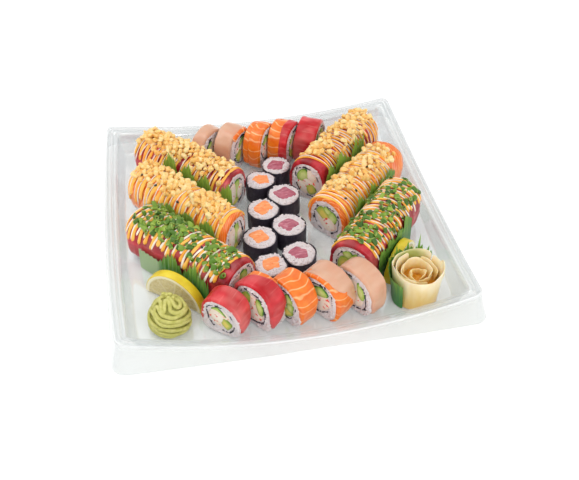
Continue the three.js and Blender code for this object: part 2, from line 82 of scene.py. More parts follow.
# Slices: name, middle (x, y), turn of the axis, width, height, length, and the strips of fish over it:
# fish, from and to along the slice as shares, its two lower edges in degrees round the section, and
# how much it narrows at the second, at its start and at its end.
SLICES = [
    ("slice_front_1", -60.3, -120.8, 52, 39, 38.5, 19, [("tuna", 0, 1, -8, 241, 0.25, 0.2, 0, 0.6)]),
    ("slice_front_2", -31.6, -116.1, 39, 43, 44, 19.5,
     [("salmon", 0.5, 1, -30, 120), ("red_tuna", 0, 1, -14, 208, 0.1, 0.85, 0.38, 0.8)]),
    ("slice_front_3", -4.6, -115.3, 34.5, 42.5, 41, 21.3, [("salmon", 0, 1, -18, 239, 0.1, 0.5, 0, 0.7)]),
    ("slice_front_4", 24.6, -114.3, 37.6, 44.5, 42.5, 22.8,
     [("salmon", 0, 0.97, 40, 236, 0, 0.5, 0.3, 0.75), ("white", 0.07, 1, -26, 200, 0.92, 0, 0, 0.6)]),
    ("slice_front_5", 53.4, -114.5, 33.8, 44.6, 43.5, 19.5, [("white", 0, 1, -20, 241, 0.2, 0.2, 0, 0.6)]),
    ("slice_back_1", -49.2, 107, -46, 39.6, 40, 15.8, [("white", 0, 1, -30, 236)]),
    ("slice_back_2", -25, 101.2, -39.2, 41.2, 41.5, 21,
     [("salmon", 0.66, 1, 52, 124), ("white", 0, 0.92, -30, 240)]),
    ("slice_back_3", 2, 100.3, -34.5, 41.3, 41.9, 18.8,
     [("salmon", 0, 0.55, -30, 206), ("salmon", 0.3, 1, -24, 240)]),
    ("slice_back_4", 27.1, 99.1, -32.6, 41, 42.1, 21.6,
     [("salmon", 0, 0.72, -26, 233), ("tuna", 0.55, 1, -20, 208)]),
    ("slice_back_5", 53.6, 97.4, -31.3, 40.7, 42.7, 22, [("tuna", 0, 1, -24, 240)]),
]
SMALL_ROLL_HEIGHT = 19.5
# Small rolls: name, middle (x, y), radius, how much wider than deep, turn, fish.
SMALL_ROLLS = [
    ("maki_salmon_1", -6.1, 41.8, 14.4, 1.02, 10, "salmon"),
    ("maki_salmon_2", -10.2, -1.3, 15.3, 1.0, 40, "salmon"),
    ("maki_salmon_3", -19.2, -38.8, 15.6, 0.99, 75, "salmon"),
    ("maki_salmon_4", -15.6, -75.4, 14.9, 1.02, 20, "salmon"),
    ("maki_tuna_1", 12.8, 61.8, 14.3, 1.0, 0, "tuna"),
    ("maki_tuna_2", 12.2, 16.2, 15.7, 1.01, 55, "tuna"),
    ("maki_tuna_3", 8.9, -27, 15.9, 0.99, 30, "tuna"),
    ("maki_tuna_4", 11.2, -66, 15.7, 1.02, 65, "tuna"),
]
# Grass leaves: name, foot from (x, y) to (x, y), lean of the tips, height of the uncut edge, the
# flat end if it has one (where it starts, its height there and at the end, and how pale it is, which
# is the milk-white of its film and a painted sheen, more on a leaf in the light and none on one in
# shade), and the tufts, each its distance along the leaf and the height of its tip.
LEAF_THICK = 0.4
LEAVES = [
    ("grass_left_back", (-38.6, -1.2), (-97.6, 65.4), 0, 30, None,
     [(3, 52.5), (31, 50), (53, 52), (74.5, 56)]),
    ("grass_left_mid", (-58.1, -46.7), (-117.9, 21.9), 0, 31, (63, 37.5, 22, 0.6),
     [(8.5, 48), (32.5, 44), (56, 43)]),
    ("grass_left_front", (-72.6, -97.4), (-126.7, -37.8), -2.6, 20, (57, 21, 22.5, 1),
     [(0.6, 30), (14.5, 43), (41.5, 38.5)]),
    ("grass_right_back", (52, 13), (102.2, 63.2), 0, 31, None, [(7.5, 46), (23, 54), (53, 51), (65, 51)]),
    ("grass_right_mid", (65.8, -38.8), (121.8, 21), 0, 27, None,
     [(10.5, 47.5), (33.5, 47), (53.5, 38.5), (68, 40)]),
    ("grass_right_front", (74.8, -98.1), (119.4, -46.8), 1.4, 25, (50, 40, 26, 0),
     [(4, 38), (20, 38), (39, 35)]),
]
# The leaf round the ginger: from and to in degrees, height of the uncut edge, tufts.
GINGER_LEAF = (225, 42, 28.6,
               [(4, 31), (8.5, 30.5), (13, 31), (27, 34), (37, 38.5), (46, 38), (53.5, 44.5), (60, 36)])
# Slices of lemon: name, middle (x, y), turn, radius.
LEMONS = [("lemon_left", -99.6, -82, -40, 28.5), ("lemon_right", 99.6, -78.4, 49, 25.5)]
LEMON_THICK = 8.5
WASABI = (-106.1, -110, 19.2, 33)  # middle (x, y), radius, height
GINGER_PLACE, GINGER_FOOT, GINGER_HEIGHT = (102.6, -113.8), 18.6, 34


# ---------------------------------------------------------------- meshes

NO_TRIS = (np.zeros((0, 3), int), np.zeros((0, 3, 2)))
SHARP_BEND = math.radians(48)  # edges bent more than this stay sharp


class Skin:
    """A surface in millimetres: points, quads and triangles, a UV at each corner, and a shade at
    each point, from 0 to 1, that sets one small thing apart from the next."""

    def __init__(self, points, quads, quad_uv, tris, tri_uv, finish, shade=0.5):
        self.points, self.quads, self.quad_uv = points, quads, quad_uv
        self.tris, self.tri_uv, self.finish = tris, tri_uv, finish
        self.shade = np.broadcast_to(np.asarray(shade, float), len(points)).copy()

    def moved(self, x=0.0, y=0.0, z=0.0, degrees=0.0):
        """This skin, turned about the vertical and shifted."""
        turn = math.radians(degrees)
        c, s = math.cos(turn), math.sin(turn)
        p = self.points
        self.points = np.stack([p[:, 0] * c - p[:, 1] * s + x, p[:, 0] * s + p[:, 1] * c + y, p[:, 2] + z], 1)
        return self


def faces_in(points, quads, tris):
    """Whether the faces of one closed surface look inwards, so that its signed volume is negative."""
    whole = np.concatenate([tris, quads[:, :3], quads[:, [0, 2, 3]]])
    a, b, c = (points[whole[:, k]] for k in range(3))
    return np.einsum("ij,ij->", a, np.cross(b, c)) < 0


def closed_skin(copies, quads, quad_uv, tris, tri_uv, finish, shade=None):
    """A skin of several copies of one closed surface. copies is (how many, points in one, 3)."""
    many, size = copies.shape[:2]
    if faces_in(copies[0] - copies[0].mean(0), quads, tris):
        quads, quad_uv, tris, tri_uv = (a[:, ::-1] for a in (quads, quad_uv, tris, tri_uv))
    step = (np.arange(many) * size)[:, None, None]
    quad_uv, tri_uv = (np.tile(uv, (many, 1, 1)) for uv in (quad_uv, tri_uv))
    quads, tris = (quads + step).reshape(-1, 4), (tris + step).reshape(-1, 3)
    shades = 0.5 if shade is None else np.repeat(shade, size)
    return Skin(copies.reshape(-1, 3), quads, quad_uv, tris, tri_uv, finish, shades)


def together(*parts):
    """Parts brought to one shape and stacked, as the coordinates of points."""
    return np.stack(np.broadcast_arrays(*parts), -1)


def round_points(radius, angle, height):
    """Points at a radius and an angle round the vertical, and a height."""
    return together(radius * np.cos(angle), radius * np.sin(angle), height)


def grid_quads(rows, cols, wrap=False):
    """Quads of a grid of points, row by row, and the (row, column) of their corners in the UV grid,
    which has one column more where the grid wraps round."""
    i, j = np.meshgrid(np.arange(rows - 1), np.arange(cols if wrap else cols - 1), indexing="ij")
    i, j = i.ravel()[:, None] + [0, 1, 1, 0], j.ravel()[:, None] + [0, 0, 1, 1]
    return i * cols + j % cols, i, j


def plain_uv(rows, cols):
    """A UV grid of shares, along the rows and the columns."""
    return np.stack(np.meshgrid(np.linspace(0, 1, rows), np.linspace(0, 1, cols), indexing="ij"), -1)


def loft(rings, finish, uv=None, shade=None):
    """A closed surface through rings of points, (rings, points round, 3), with a pole at each end.
    Given (copies, rings, points round, 3), it makes that many of them."""
    rings = rings[None] if rings.ndim == 3 else rings
    many, n, m = rings.shape[:3]
    uv = plain_uv(n, m + 1) if uv is None else uv
    quads, i, j = grid_quads(n, m, wrap=True)
    flat = rings.reshape(many, n * m, 3)
    poles = rings[:, [0, -1]].mean(2)
    k = np.arange(m)
    tris, tri_uv = [], []
    for pole, row in ((n * m, 0), (n * m + 1, n - 1)):
        a, b = row * m + k, row * m + (k + 1) % m
        order = (a, b) if row else (b, a)
        tris.append(np.stack([*order, np.full(m, pole)], 1))
        ends = (uv[row, k], uv[row, k + 1]) if row else (uv[row, k + 1], uv[row, k])
        tri_uv.append(np.stack([*ends, (uv[row, k] + uv[row, k + 1]) / 2], 1))
    points = np.concatenate([flat, poles], 1)
    return closed_skin(points, quads, uv[i, j], np.concatenate(tris), np.concatenate(tri_uv), finish, shade)


def slab(outer, inner, finish, uv=None):
    """A closed sheet between two grids of points of the same shape, (rows, columns, 3)."""
    n, m = outer.shape[:2]
    uv = plain_uv(n, m) if uv is None else uv
    quads, i, j = grid_quads(n, m)
    edge = [(r, 0) for r in range(n)] + [(n - 1, c) for c in range(1, m)]
    edge += [(r, m - 1) for r in range(n - 2, -1, -1)] + [(0, c) for c in range(m - 2, 0, -1)]
    rows, cols = np.array(edge).T
    a = rows * m + cols
    b = np.roll(a, -1)
    rim = np.stack([b, a, a + n * m, b + n * m], 1)
    uv_a = uv[rows, cols]
    uv_b = np.roll(uv_a, -1, 0)
    quads = np.concatenate([quads, quads[:, ::-1] + n * m, rim])
    face_uv = uv[i, j]
    quad_uv = np.concatenate([face_uv, face_uv[:, ::-1], np.stack([uv_b, uv_a, uv_a, uv_b], 1)])
    points = np.concatenate([outer.reshape(-1, 3), inner.reshape(-1, 3)])[None]
    return closed_skin(points, quads, quad_uv, *NO_TRIS, finish)


def hoops(rings, finish, shade):
    """Closed rings: (copies, steps round, points of the section, 3), joined both ways."""
    many, n, m = rings.shape[:3]
    i, j = np.meshgrid(np.arange(n), np.arange(m), indexing="ij")
    i, j = i.ravel()[:, None] + [0, 1, 1, 0], j.ravel()[:, None] + [0, 0, 1, 1]
    uv = np.stack([i / n, j / m], -1)
    return closed_skin(rings.reshape(many, n * m, 3), (i % n) * m + j % m, uv, *NO_TRIS, finish, shade)


def make(name, skins, slot, *nodes):
    """One object from skins, which may have different finishes. It rides on the body and stands for
    the CAD nodes named."""
    finishes = sorted({s.finish for s in skins})
    offsets = np.cumsum([0] + [len(s.points) for s in skins])
    points = np.concatenate([s.points for s in skins]) / 1000
    corners, uvs, totals, kinds = [], [], [], []
    for s, start in zip(skins, offsets):
        for faces, uv in ((s.quads, s.quad_uv), (s.tris, s.tri_uv)):
            corners.append((faces + start).ravel())
            uvs.append(uv.reshape(-1, 2))
            totals.append(np.full(len(faces), faces.shape[1]))
            kinds.append(np.full(len(faces), finishes.index(s.finish)))
    corners, uvs, totals, kinds = (np.concatenate(a) for a in (corners, uvs, totals, kinds))
    mesh = bpy.data.meshes.new(name)
    mesh.vertices.add(len(points))
    mesh.vertices.foreach_set("co", points.astype(np.float32).ravel())
    mesh.loops.add(len(corners))
    mesh.loops.foreach_set("vertex_index", corners.astype(np.int32))
    mesh.polygons.add(len(totals))
    mesh.polygons.foreach_set("loop_start", (np.cumsum(totals) - totals).astype(np.int32))
    mesh.polygons.foreach_set("material_index", kinds.astype(np.int32))
    mesh.polygons.foreach_set("use_smooth", np.ones(len(totals), bool))
    mesh.uv_layers.new(name="surface").data.foreach_set("uv", uvs.astype(np.float32).ravel())
    shade = np.concatenate([s.shade for s in skins]).astype(np.float32)
    mesh.attributes.new("shade", "FLOAT", "POINT").data.foreach_set("value", shade)
    mesh.update(calc_edges=True)
    mesh.validate()
    mesh.set_sharp_from_angle(angle=SHARP_BEND)
    for finish in finishes:
        mesh.materials.append(FINISHES[finish])
    piece = bpy.data.objects.new(name, mesh)
    bpy.context.scene.collection.objects.link(piece)
    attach(piece, "root")
    if nodes:
        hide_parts(*nodes)
    return piece


def seeded(*keys):
    """A source of random draws that gives the same ones for the same keys."""
    return np.random.default_rng([abs(int(k)) for k in keys])


def wobble(points, size, seed):
    """An uneven field, about -1 to 1: the sum of eight sine waves in seeded directions, each about
    size long."""
    random = seeded(seed, 77)
    ways = random.normal(size=(8, 3))
    ways /= np.linalg.norm(ways, axis=1, keepdims=True)
    waves = ways * TAU / (size * random.uniform(0.7, 1.5, (8, 1)))
    return np.sin(points @ waves.T + random.uniform(0, TAU, 8)).sum(-1) / 3.2


def smooth_step(value, low, high):
    """0 below low, 1 above high, and 3 t^2 - 2 t^3 between them."""
    t = np.clip((value - low) / (high - low), 0, 1)
    return t * t * (3 - 2 * t)


def eased(count):
    """Shares from 0 to 1, closer together near both ends."""
    return (1 - np.cos(np.linspace(0, math.pi, count))) / 2


def signed_power(value, power):
    """|value|^power with the sign of the value."""
    return np.sign(value) * np.abs(value) ** power


def rounded_edge(distance, radius, least=0):
    """The share of its full thickness that a sheet with a round edge has at a distance d from it:
    sqrt(1 - (1 - d / radius)^2), where d / radius is kept over least."""
    return np.sqrt(1 - (1 - np.clip(distance / radius, least, 1)) ** 2)


def same(vector, count):
    """A vector as many rows."""
    return np.tile(np.array(vector, float), (count, 1))


# ---------------------------------------------------------------- rolls

DOME_START, DOME_REACH, DOME_ARC = 9.0, 10.3, 21.0  # the rounded far end of a long roll
DOME_POWER = 0.62  # how blunt that end is
TOP_POWER, FOOT_POWER = 0.9, 0.55  # how square a roll's section is over and under its waist
CORE_POWER, CORE_FOOT = 0.85, 5.2  # how square its core is, and how high that starts
FISH_EDGE = 1.9  # radius of the edge of a slice of fish
GOLDEN = 0.618034  # golden ratio, which spreads small things evenly
SEED_SIZE = (1.7, 1.05, 0.7)  # half length, width and thickness of a sesame seed


def roll_point(roll, t, angle, lift=0.0):
    """A point of a roll's surface, t along it and at an angle round it, lifted off it.
    The section is y = w/2 cos^p, z = waist + reach sin^p, with another p over the waist than under it;
    past DOME_START from a rounded end it shrinks as cos^DOME_POWER of a turn that carries it forward
    as sin."""
    t, angle, lift = np.broadcast_arrays(np.asarray(t, float), angle, lift)
    width, height, length = roll["width"], roll["height"], roll["length"]
    c, s = np.cos(angle), np.sin(angle)
    waist = WAIST * height
    reach = np.where(s >= 0, height - waist, waist)
    power = np.where(s >= 0, TOP_POWER, FOOT_POWER)
    across, up = signed_power(c, power), signed_power(s, power)
    turn = np.zeros_like(t)
    x = t
    if roll["domed"]:
        start = length - DOME_START
        turn = np.clip((t - start) / DOME_ARC, 0, 1) * QUARTER
        x = np.minimum(t, start) + (DOME_REACH + lift) * np.sin(turn)
    scale = np.cos(turn) ** DOME_POWER
    side = lift * np.cos(turn)
    y = (width / 2 * scale + side) * across
    z = waist + (reach * scale + np.where(s >= 0, side, 0)) * up
    x = x + roll["slant"] * y * (1 - np.clip(t / length, 0, 1))
    return np.stack([x, y, z], -1)


def roll_frame(roll, t, angle, lift):
    """Points of a roll's surface and three unit vectors at each: along it, round it, and out of it."""
    at = roll_point(roll, t, angle, lift)
    along = roll_point(roll, t + 0.1, angle, lift) - at
    around = roll_point(roll, t, angle + 0.01, lift) - at
    axes = (along, around, np.cross(along, around))
    return at, *(v / np.maximum(np.linalg.norm(v, axis=-1, keepdims=True), 1e-9) for v in axes)


def arc_lengths(roll, angles):
    """Distance round a roll's section at each angle, from the top."""
    p = roll_point(roll, 0.5 * roll["length"], angles)
    steps = np.linalg.norm(np.diff(p, axis=0), axis=1)
    arc = np.concatenate([[0], np.cumsum(steps)])
    return arc - np.interp(QUARTER, angles, arc)


def fish_strip(roll, start, end, low, high, seed, fish, lift=0.0, taper=(), rows=22, cols=54, steps=0.0):
    """A slice of fish over a roll: a slab whose inner side lies FISH_THICK under the roll's surface
    and whose outer side is round at the edges. steps is the pitch of overlapping slices, if any.
    Towards its high end the strip narrows by taper, a share at its start and one at its end; the
    third share is how much it narrows at its end towards the low side, and the fourth value is
    where the narrowing starts, as a share of its way round."""
    random = seeded(seed, 5)
    phase = random.uniform(0, TAU, 4)
    s, q = eased(rows)[:, None], eased(cols)[None, :]
    angle = np.radians(low) * (1 - q) + np.radians(high) * q
    angle = angle + 0.05 * np.sin(5 * s + phase[0]) * (1 - 2 * q)
    first = start + 0.6 * np.sin(2.4 * angle + phase[1])
    last = end + (0 if roll["domed"] else 0.6 * np.sin(2.1 * angle + phase[2]))
    if taper:
        narrow, wide = smooth_step(q, taper[3], 1.0) ** 1.2, last - first
        first = first + taper[0] * narrow * wide
        last = last - (taper[1] * narrow + taper[2] * smooth_step(0.62 - q, 0, 0.3)) * wide
    t = first * (1 - s) + last * s
    arc = np.stack([arc_lengths(roll, row) for row in angle[:: max(rows - 1, 1)]]).mean(0)[None]
    near_end = t - first if roll["domed"] else np.minimum(t - first, last - t)
    near_side = np.minimum(arc - arc[:, :1], arc[:, -1:] - arc)
    full = rounded_edge(near_end, FISH_EDGE) * rounded_edge(near_side, FISH_EDGE)
    where = roll_point(roll, t, angle)
    relief = 0.45 * wobble(where, 13, seed) + 0.12 * wobble(where, 4, seed + 1)
    if steps:
        overlap = ((t + 5 * np.sin(angle + phase[3])) / steps) % 1
        relief = relief + 0.8 * (1 - overlap) - 0.4
    inner = roll_point(roll, t, angle, lift - FISH_THICK)
    outer = roll_point(roll, t, angle, lift - FISH_THICK + (FISH_THICK + relief) * np.maximum(full, 0.02))
    skin = slab(outer, inner, fish, together(arc, t - (start + end) / 2))
    # a share per slice, which tuna uses for its mottling and painted sheen
    skin.shade[:] = random.uniform(0, 1)
    return skin


def core_oval(roll, angle, share=1.0):
    """The oval inside the seaweed of a roll, as (y, z) offsets scaled by share about its middle."""
    half_y = roll["width"] / 2 - FISH_THICK - RICE_THICK
    low, high = CORE_FOOT, roll["height"] - FISH_THICK - RICE_THICK
    half_z = (high - low) / 2
    y = share * half_y * signed_power(np.cos(angle), CORE_POWER)
    z = share * half_z * signed_power(np.sin(angle), CORE_POWER)
    return y + roll["tilt"] * z * 0.25, z + (low + high) / 2


def rice_body(roll, low, high):
    """The rice of a roll: its section drawn in under the fish, from one cut face to the other, or to
    the rounded far end."""
    length = roll["length"]
    angle = np.linspace(0, TAU, 64, endpoint=False) - QUARTER
    covered = smooth_step(angle, math.radians(low) - 0.05, math.radians(low) + 0.15)
    covered *= 1 - smooth_step(angle, math.radians(high) - 0.15, math.radians(high) + 0.05)
    inset = -(FISH_THICK - 0.4) * covered
    ends = [0.5, 0.9, 1.8]
    if roll["domed"]:
        dome = length - DOME_START + DOME_ARC * np.linspace(0, 0.96, 12)
        t = np.concatenate([ends, np.linspace(4, length - 10, 40), dome])
    else:
        t = np.concatenate([ends, np.linspace(3, length - 3, 12), [length - e for e in ends[::-1]]])
    t = t[:, None]
    inset = inset[None] - 0.7 * np.exp(-((t - 0.5) / 0.6) ** 2)
    rings = roll_point(roll, t, angle[None], inset)
    rings += 0.25 * wobble(rings, 5, 3)[..., None] * [0, 1, 0.5]
    rings[..., 2] = np.maximum(rings[..., 2], 0)
    return loft(rings, "rice")


def ball(rows, cols, blunt=1.0):
    """Rings of a ball round the x axis, whose radius is sin^blunt of the way from pole to pole."""
    theta = np.linspace(0, math.pi, rows + 2)[1:-1, None]
    phi = np.linspace(0, TAU, cols, endpoint=False)[None]
    ring = np.sin(theta) ** blunt
    return together(np.cos(theta), ring * np.cos(phi), ring * np.sin(phi))


def grain_unit():
    """A grain of cooked short rice: a plump ball, a little flat on one side."""
    grain = ball(6, 7, 0.8)
    grain[..., 2] -= 0.12 * grain[..., 0] * grain[..., 0]
    return grain


def tumbled(axes, random, uneven):
    """Frames (n, 3, 3) whose first column is the long way of a small thing, from its three axes
    along, around and out of a surface: spun any way about out, and tipped up by about uneven."""
    along, around, out = axes
    spin, tilt = random.uniform(0, TAU, len(out)), random.normal(0, uneven, len(out))
    c, s = np.cos(spin)[:, None], np.sin(spin)[:, None]
    first, second = along * c + around * s, around * c - along * s
    c, s = np.cos(tilt)[:, None], np.sin(tilt)[:, None]
    return np.stack([first * c + out * s, second, out * c - first * s], -1)


def scattered(unit, centres, frames, sizes, finish, shade, uneven=0.0, seed=0, size=1.0):
    """Copies of a lofted unit shape (rings, points round, 3), each scaled, turned and put in place.
    uneven swells each by a share that differs from one to the next."""
    rings = np.broadcast_to(unit, (len(centres),) + unit.shape)
    if uneven:
        own = seeded(seed, 9).uniform(-40, 40, (len(centres), 1, 1, 3))
        rings = rings * (1 + uneven * wobble(rings + own, size, seed)[..., None])
    rings = rings * sizes[:, None, None, :]
    rings = np.einsum("nij,nrcj->nrci", frames, rings) + centres[:, None, None, :]
    return loft(rings, finish, shade=shade)


def rice_grains(centres, axes, seed, plump=1.0, stained=0.0):
    """Grains of rice that lie about flat on a surface, each turned its own way. The last share, from 0
    to 1, is how much painted pink a grain gets for the light that the fish beside it throws on it."""
    random = seeded(seed, 21)
    n = len(centres)
    frames = tumbled(axes, random, 0.28)
    sizes = [random.normal(size, spread, n) for size, spread in ((2.25, 0.25), (1.2, 0.1), (1.0, 0.1))]
    sizes = np.stack(sizes, 1) * plump
    shade = 0.5 * random.uniform(0, 1, n) + 0.5 * stained
    return scattered(grain_unit(), centres, frames, sizes, "rice", shade, 0.06, seed, 1.5)


def face_grains(roll, at, way, count, seed, low, high):
    """Grains between the seaweed and the fish on a cut face at x, which looks along way (-1 or 1)."""
    random = seeded(seed, 31)
    angle = random.uniform(0, TAU, count)
    share = random.uniform(-0.16, 0.86, count)
    y0, z0 = core_oval(roll, angle, 1.05)
    wrapped = (angle + QUARTER) % TAU - QUARTER
    covered = (wrapped > math.radians(low)) & (wrapped < math.radians(high))
    rim = roll_point(roll, at, angle, np.where(covered, -FISH_THICK - 0.3, -0.9))
    y = y0 * (1 - share) + rim[:, 1] * share
    z = z0 * (1 - share) + rim[:, 2] * share
    x = at + roll["slant"] * y * (at < 1) + way * random.uniform(-1.1, -0.35, count)
    centres = np.stack([x, y, np.clip(z, 1.1, None)], 1)
    axes = [same(v, count) for v in ([0, 1, 0], [0, 0, 1], [way, 0, 0])]
    # grains nearer the fish get more of the painted pink glow
    return rice_grains(centres, axes, seed, 1.0, np.clip(share, 0, 1) ** 1.5)


def flank_grains(roll, count, low, high, seed):
    """Grains on the two strips of rice that show under the fish's lower edges."""
    random = seeded(seed, 33)
    side = random.uniform(size=count) < 0.5
    low, high, bottom = math.radians(low), math.radians(high), math.radians(62)
    span = random.uniform(0, 1, count)
    angle = np.where(side, -bottom + (low + bottom) * span, high + (math.pi + bottom - high) * span)
    end = roll["length"] - (2 if roll["domed"] else 1)
    t = random.uniform(1, end, count)
    keep = np.where(side, low > -bottom, high < math.pi + bottom)
    at, *axes = (v[keep] for v in roll_frame(roll, t, angle, -0.75))
    return rice_grains(at, axes, seed)


def tail_grains(roll, count, high, seed):
    """Grains under the narrow lower end of a slice of fish, where the rice beside it shows."""
    random = seeded(seed, 35)
    angle = math.radians(high) - random.uniform(0.05, 1.0, count)
    t = random.uniform(1.2, roll["length"] - 1.2, count)
    at, *axes = roll_frame(roll, t, angle, -FISH_THICK + 0.2)
    # grains under the fish's edge get half the painted pink glow
    return rice_grains(at, axes, seed, 1.0, 0.5)


def seaweed_ring(roll, seed):
    """The seaweed inside a roll: a thin sheet wound once round the core with its ends overlapping."""
    random = seeded(seed, 41)
    start = random.uniform(0, TAU)
    angle = np.linspace(start, start + TAU + 0.5, 66)[None]
    length = roll["length"]
    last = length - 6 if roll["domed"] else length + 0.25
    t = np.concatenate([[-0.25], np.linspace(4, last - 4, 5), [last]])[:, None]
    sunk = 2.6 * smooth_step(-np.sin(2 * angle + start) * np.sin(3.7 * angle + seed), 0.3, 0.6)
    t = t + sunk * np.sign(length / 2 - t) * (np.abs(t - last / 2) > last / 2 - 2)
    grow = 1.0 + 0.05 * (angle - start) / TAU + 0.02 * np.sin(5 * angle + seed)
    grow = grow + 0.012 * np.sin(11 * angle + start)
    swell = 0.012 + 0.11 * np.clip(np.sin(2 * angle + start) * np.sin(5.3 * angle + seed), 0, 1) ** 1.5
    sheets = []
    for thick in (0.02 + swell, -0.02):
        y, z = core_oval(roll, angle, grow + thick)
        x = t + roll["slant"] * y * (1 - np.clip(t / length, 0, 1))
        sheets.append(together(x, y, z))
    return slab(*sheets, "seaweed")


# What fills a roll, as its finish, middle and half sizes as shares of the core, turn in degrees, and
# how square it is.
FILLINGS = {
    "right_back": [("crab", -0.3, 0.5, 0.5, 0.42, 20, 0.8), ("crab", 0.35, -0.5, 0.6, 0.42, 30, 0.75),
                   ("cucumber", 0.38, 0.42, 0.62, 0.52, -30, 0.8), ("crab", -0.1, -0.05, 0.66, 0.34, 25, 0.7),
                   ("avocado", -0.42, -0.56, 0.56, 0.42, 40, 0.75)],
    "right_mid": [("crab", -0.2, -0.5, 0.8, 0.5, 25, 0.8), ("cucumber", -0.5, 0.3, 0.42, 0.5, 30, 0.8),
                  ("avocado", 0.3, 0.3, 0.9, 0.4, 42, 0.7), ("cucumber", -0.05, 0.62, 0.4, 0.3, 20, 0.8),
                  ("crab", -0.25, -0.3, 0.62, 0.45, 40, 0.75)],
    "right_front": [("crab", -0.1, -0.3, 0.7, 0.5, 0, 0.75), ("avocado", 0.5, -0.1, 0.45, 0.6, 15, 0.75),
                    ("cucumber", -0.35, 0.5, 0.5, 0.42, -20, 0.8),
                    ("cucumber", 0.3, 0.72, 0.4, 0.3, 30, 0.8)],
    "left": [("crab", 0.45, 0.1, 0.5, 0.8, 10, 0.8), ("cucumber", -0.12, 0.2, 0.42, 0.8, 12, 0.8),
             ("crab", -0.6, -0.3, 0.4, 0.6, -8, 0.8), ("avocado", 0.15, -0.7, 0.6, 0.3, 20, 0.75)],
    "slice_a": [("crab", 0.1, 0.05, 0.85, 0.5, 35, 0.75), ("cucumber", 0.2, 0.62, 0.72, 0.3, 32, 0.8),
                ("avocado", -0.55, -0.35, 0.66, 0.36, 48, 0.7), ("crab", -0.1, -0.15, 0.55, 0.3, 40, 0.75)],
    "slice_b": [("crab", 0.1, -0.1, 0.75, 0.85, 0, 0.8), ("cucumber", -0.62, 0.3, 0.28, 0.6, -12, 0.8),
                ("crab", -0.35, -0.45, 0.5, 0.45, 20, 0.8), ("avocado", 0.5, 0.5, 0.4, 0.42, 30, 0.75)],
    "slice_c": [("avocado", -0.4, -0.55, 0.5, 0.45, 30, 0.75), ("crab", -0.1, 0.3, 0.7, 0.6, 10, 0.75),
                ("cucumber", -0.45, 0.55, 0.42, 0.38, -20, 0.8), ("cucumber", -0.6, 0.0, 0.3, 0.36, 0, 0.8)],
    "slice_d": [("crab", -0.15, -0.2, 0.75, 0.62, -25, 0.75), ("cucumber", -0.2, 0.58, 0.72, 0.36, -22, 0.8),
                ("crab", 0.3, -0.6, 0.5, 0.35, 0, 0.8), ("avocado", 0.55, 0.1, 0.4, 0.5, 0, 0.75)],
}


def filling(roll, kind, seed):
    """The pieces inside the seaweed: rounded bars through the whole roll, each a closed loop
    r = (|cos|^p, |sin|^p), turned, and pulled in where it would pass the core's oval."""
    random = seeded(seed, 43)
    length = roll["length"]
    loop = np.linspace(0, TAU, 22, endpoint=False)
    (half_y, _), (middle, top) = core_oval(roll, np.array([0.0, QUARTER]))
    half_z = top - middle
    skins = []
    for finish, cy, cz, a, b, turn, square in [("crab", 0, 0, 0.99, 0.99, 0, 0.85)] + FILLINGS[kind]:
        backing = a > 0.9
        turn = math.radians(turn + random.normal(0, 4))
        dent = 1 + 0.06 * np.sin(3 * loop + random.uniform(0, TAU))
        dent = dent + 0.03 * np.sin(5 * loop + random.uniform(0, TAU))
        u, v = (r * signed_power(f, square) * dent for r, f in ((a, np.cos(loop)), (b, np.sin(loop))))
        c, s = math.cos(turn), math.sin(turn)
        y, z = cy + u * c - v * s, cz + u * s + v * c
        pull = np.minimum(1, 0.985 / np.hypot(y, z))
        y, z = y * pull, z * pull
        cy, cz = y.mean(), z.mean()
        proud = -0.5 if backing else random.uniform(0.1, 0.75)
        last = length - 6 if roll["domed"] else length + proud
        t = np.concatenate([[-proud] * 4, [0.6 - proud], [last - 0.6], [last] * 4])
        inner = np.array([0.25, 0.55, 0.8, 0.93, 1, 1, 0.93, 0.8, 0.55, 0.25])
        bulge = np.array([-0.25, -0.15, 0, 0.15, 0, 0, -0.15, 0, 0.15, 0.25])
        ring_y = (cy + (y[None] - cy) * inner[:, None]) * half_y
        ring_z = middle + (cz + (z[None] - cz) * inner[:, None]) * half_z
        x = (t + bulge)[:, None] + roll["slant"] * ring_y * (1 - np.clip(t / length, 0, 1))[:, None]
        uv = together(inner[:, None], np.linspace(0, 1, 23)[None])
        skins.append(loft(together(x, ring_y, ring_z), finish, uv, np.array([random.uniform()])))
    return skins


def stripes(roll, positions, width, height, low, high, shorter, slant, seed, finish, lift):
    """Stripes of sauce over a roll: each follows t = position + slant across the top, with a flat
    oval section that swells a little, wavers, and closes in a drop at both ends. The last stripes
    before the far end stop higher by so many degrees."""
    random = seeded(seed, 51)
    k, n, m = len(positions), 34, 8
    s = np.linspace(0, 1, n)[None, :, None]
    around = np.linspace(0, TAU, m, endpoint=False)[None, None, :]
    low = np.radians(random.normal(low, 8, k))[:, None, None]
    near_end = smooth_step(positions, roll["length"] - 40, roll["length"] - 22)
    high = random.normal(high, 8, k) - shorter * near_end
    high = np.radians(high)[:, None, None]
    angle = low * (1 - s) + high * s
    phase = random.uniform(0, TAU, (k, 1, 1))
    own = slant + random.normal(0, 1.0, (k, 1, 1))
    middle = positions[:, None, None] + own * (angle - QUARTER) / QUARTER + 0.75 * np.sin(3.1 * angle + phase)
    to_end = np.minimum(s, 1 - s)
    ends = rounded_edge(to_end, 0.05) * 0.97 + 0.03
    drop = 1 + 0.35 * np.exp(-((to_end - 0.06) / 0.05) ** 2)
    body = width / 2 * ends * drop * (1 + 0.18 * np.sin(7 * angle + 2 * phase))
    t = np.clip(middle + body * np.cos(around), 0.8, None)
    up = lift + height * ends * np.where(np.sin(around) > 0, np.sin(around), 0.5 * np.sin(around))
    return loft(roll_point(roll, t, angle, up), finish, shade=random.uniform(0, 1, k))


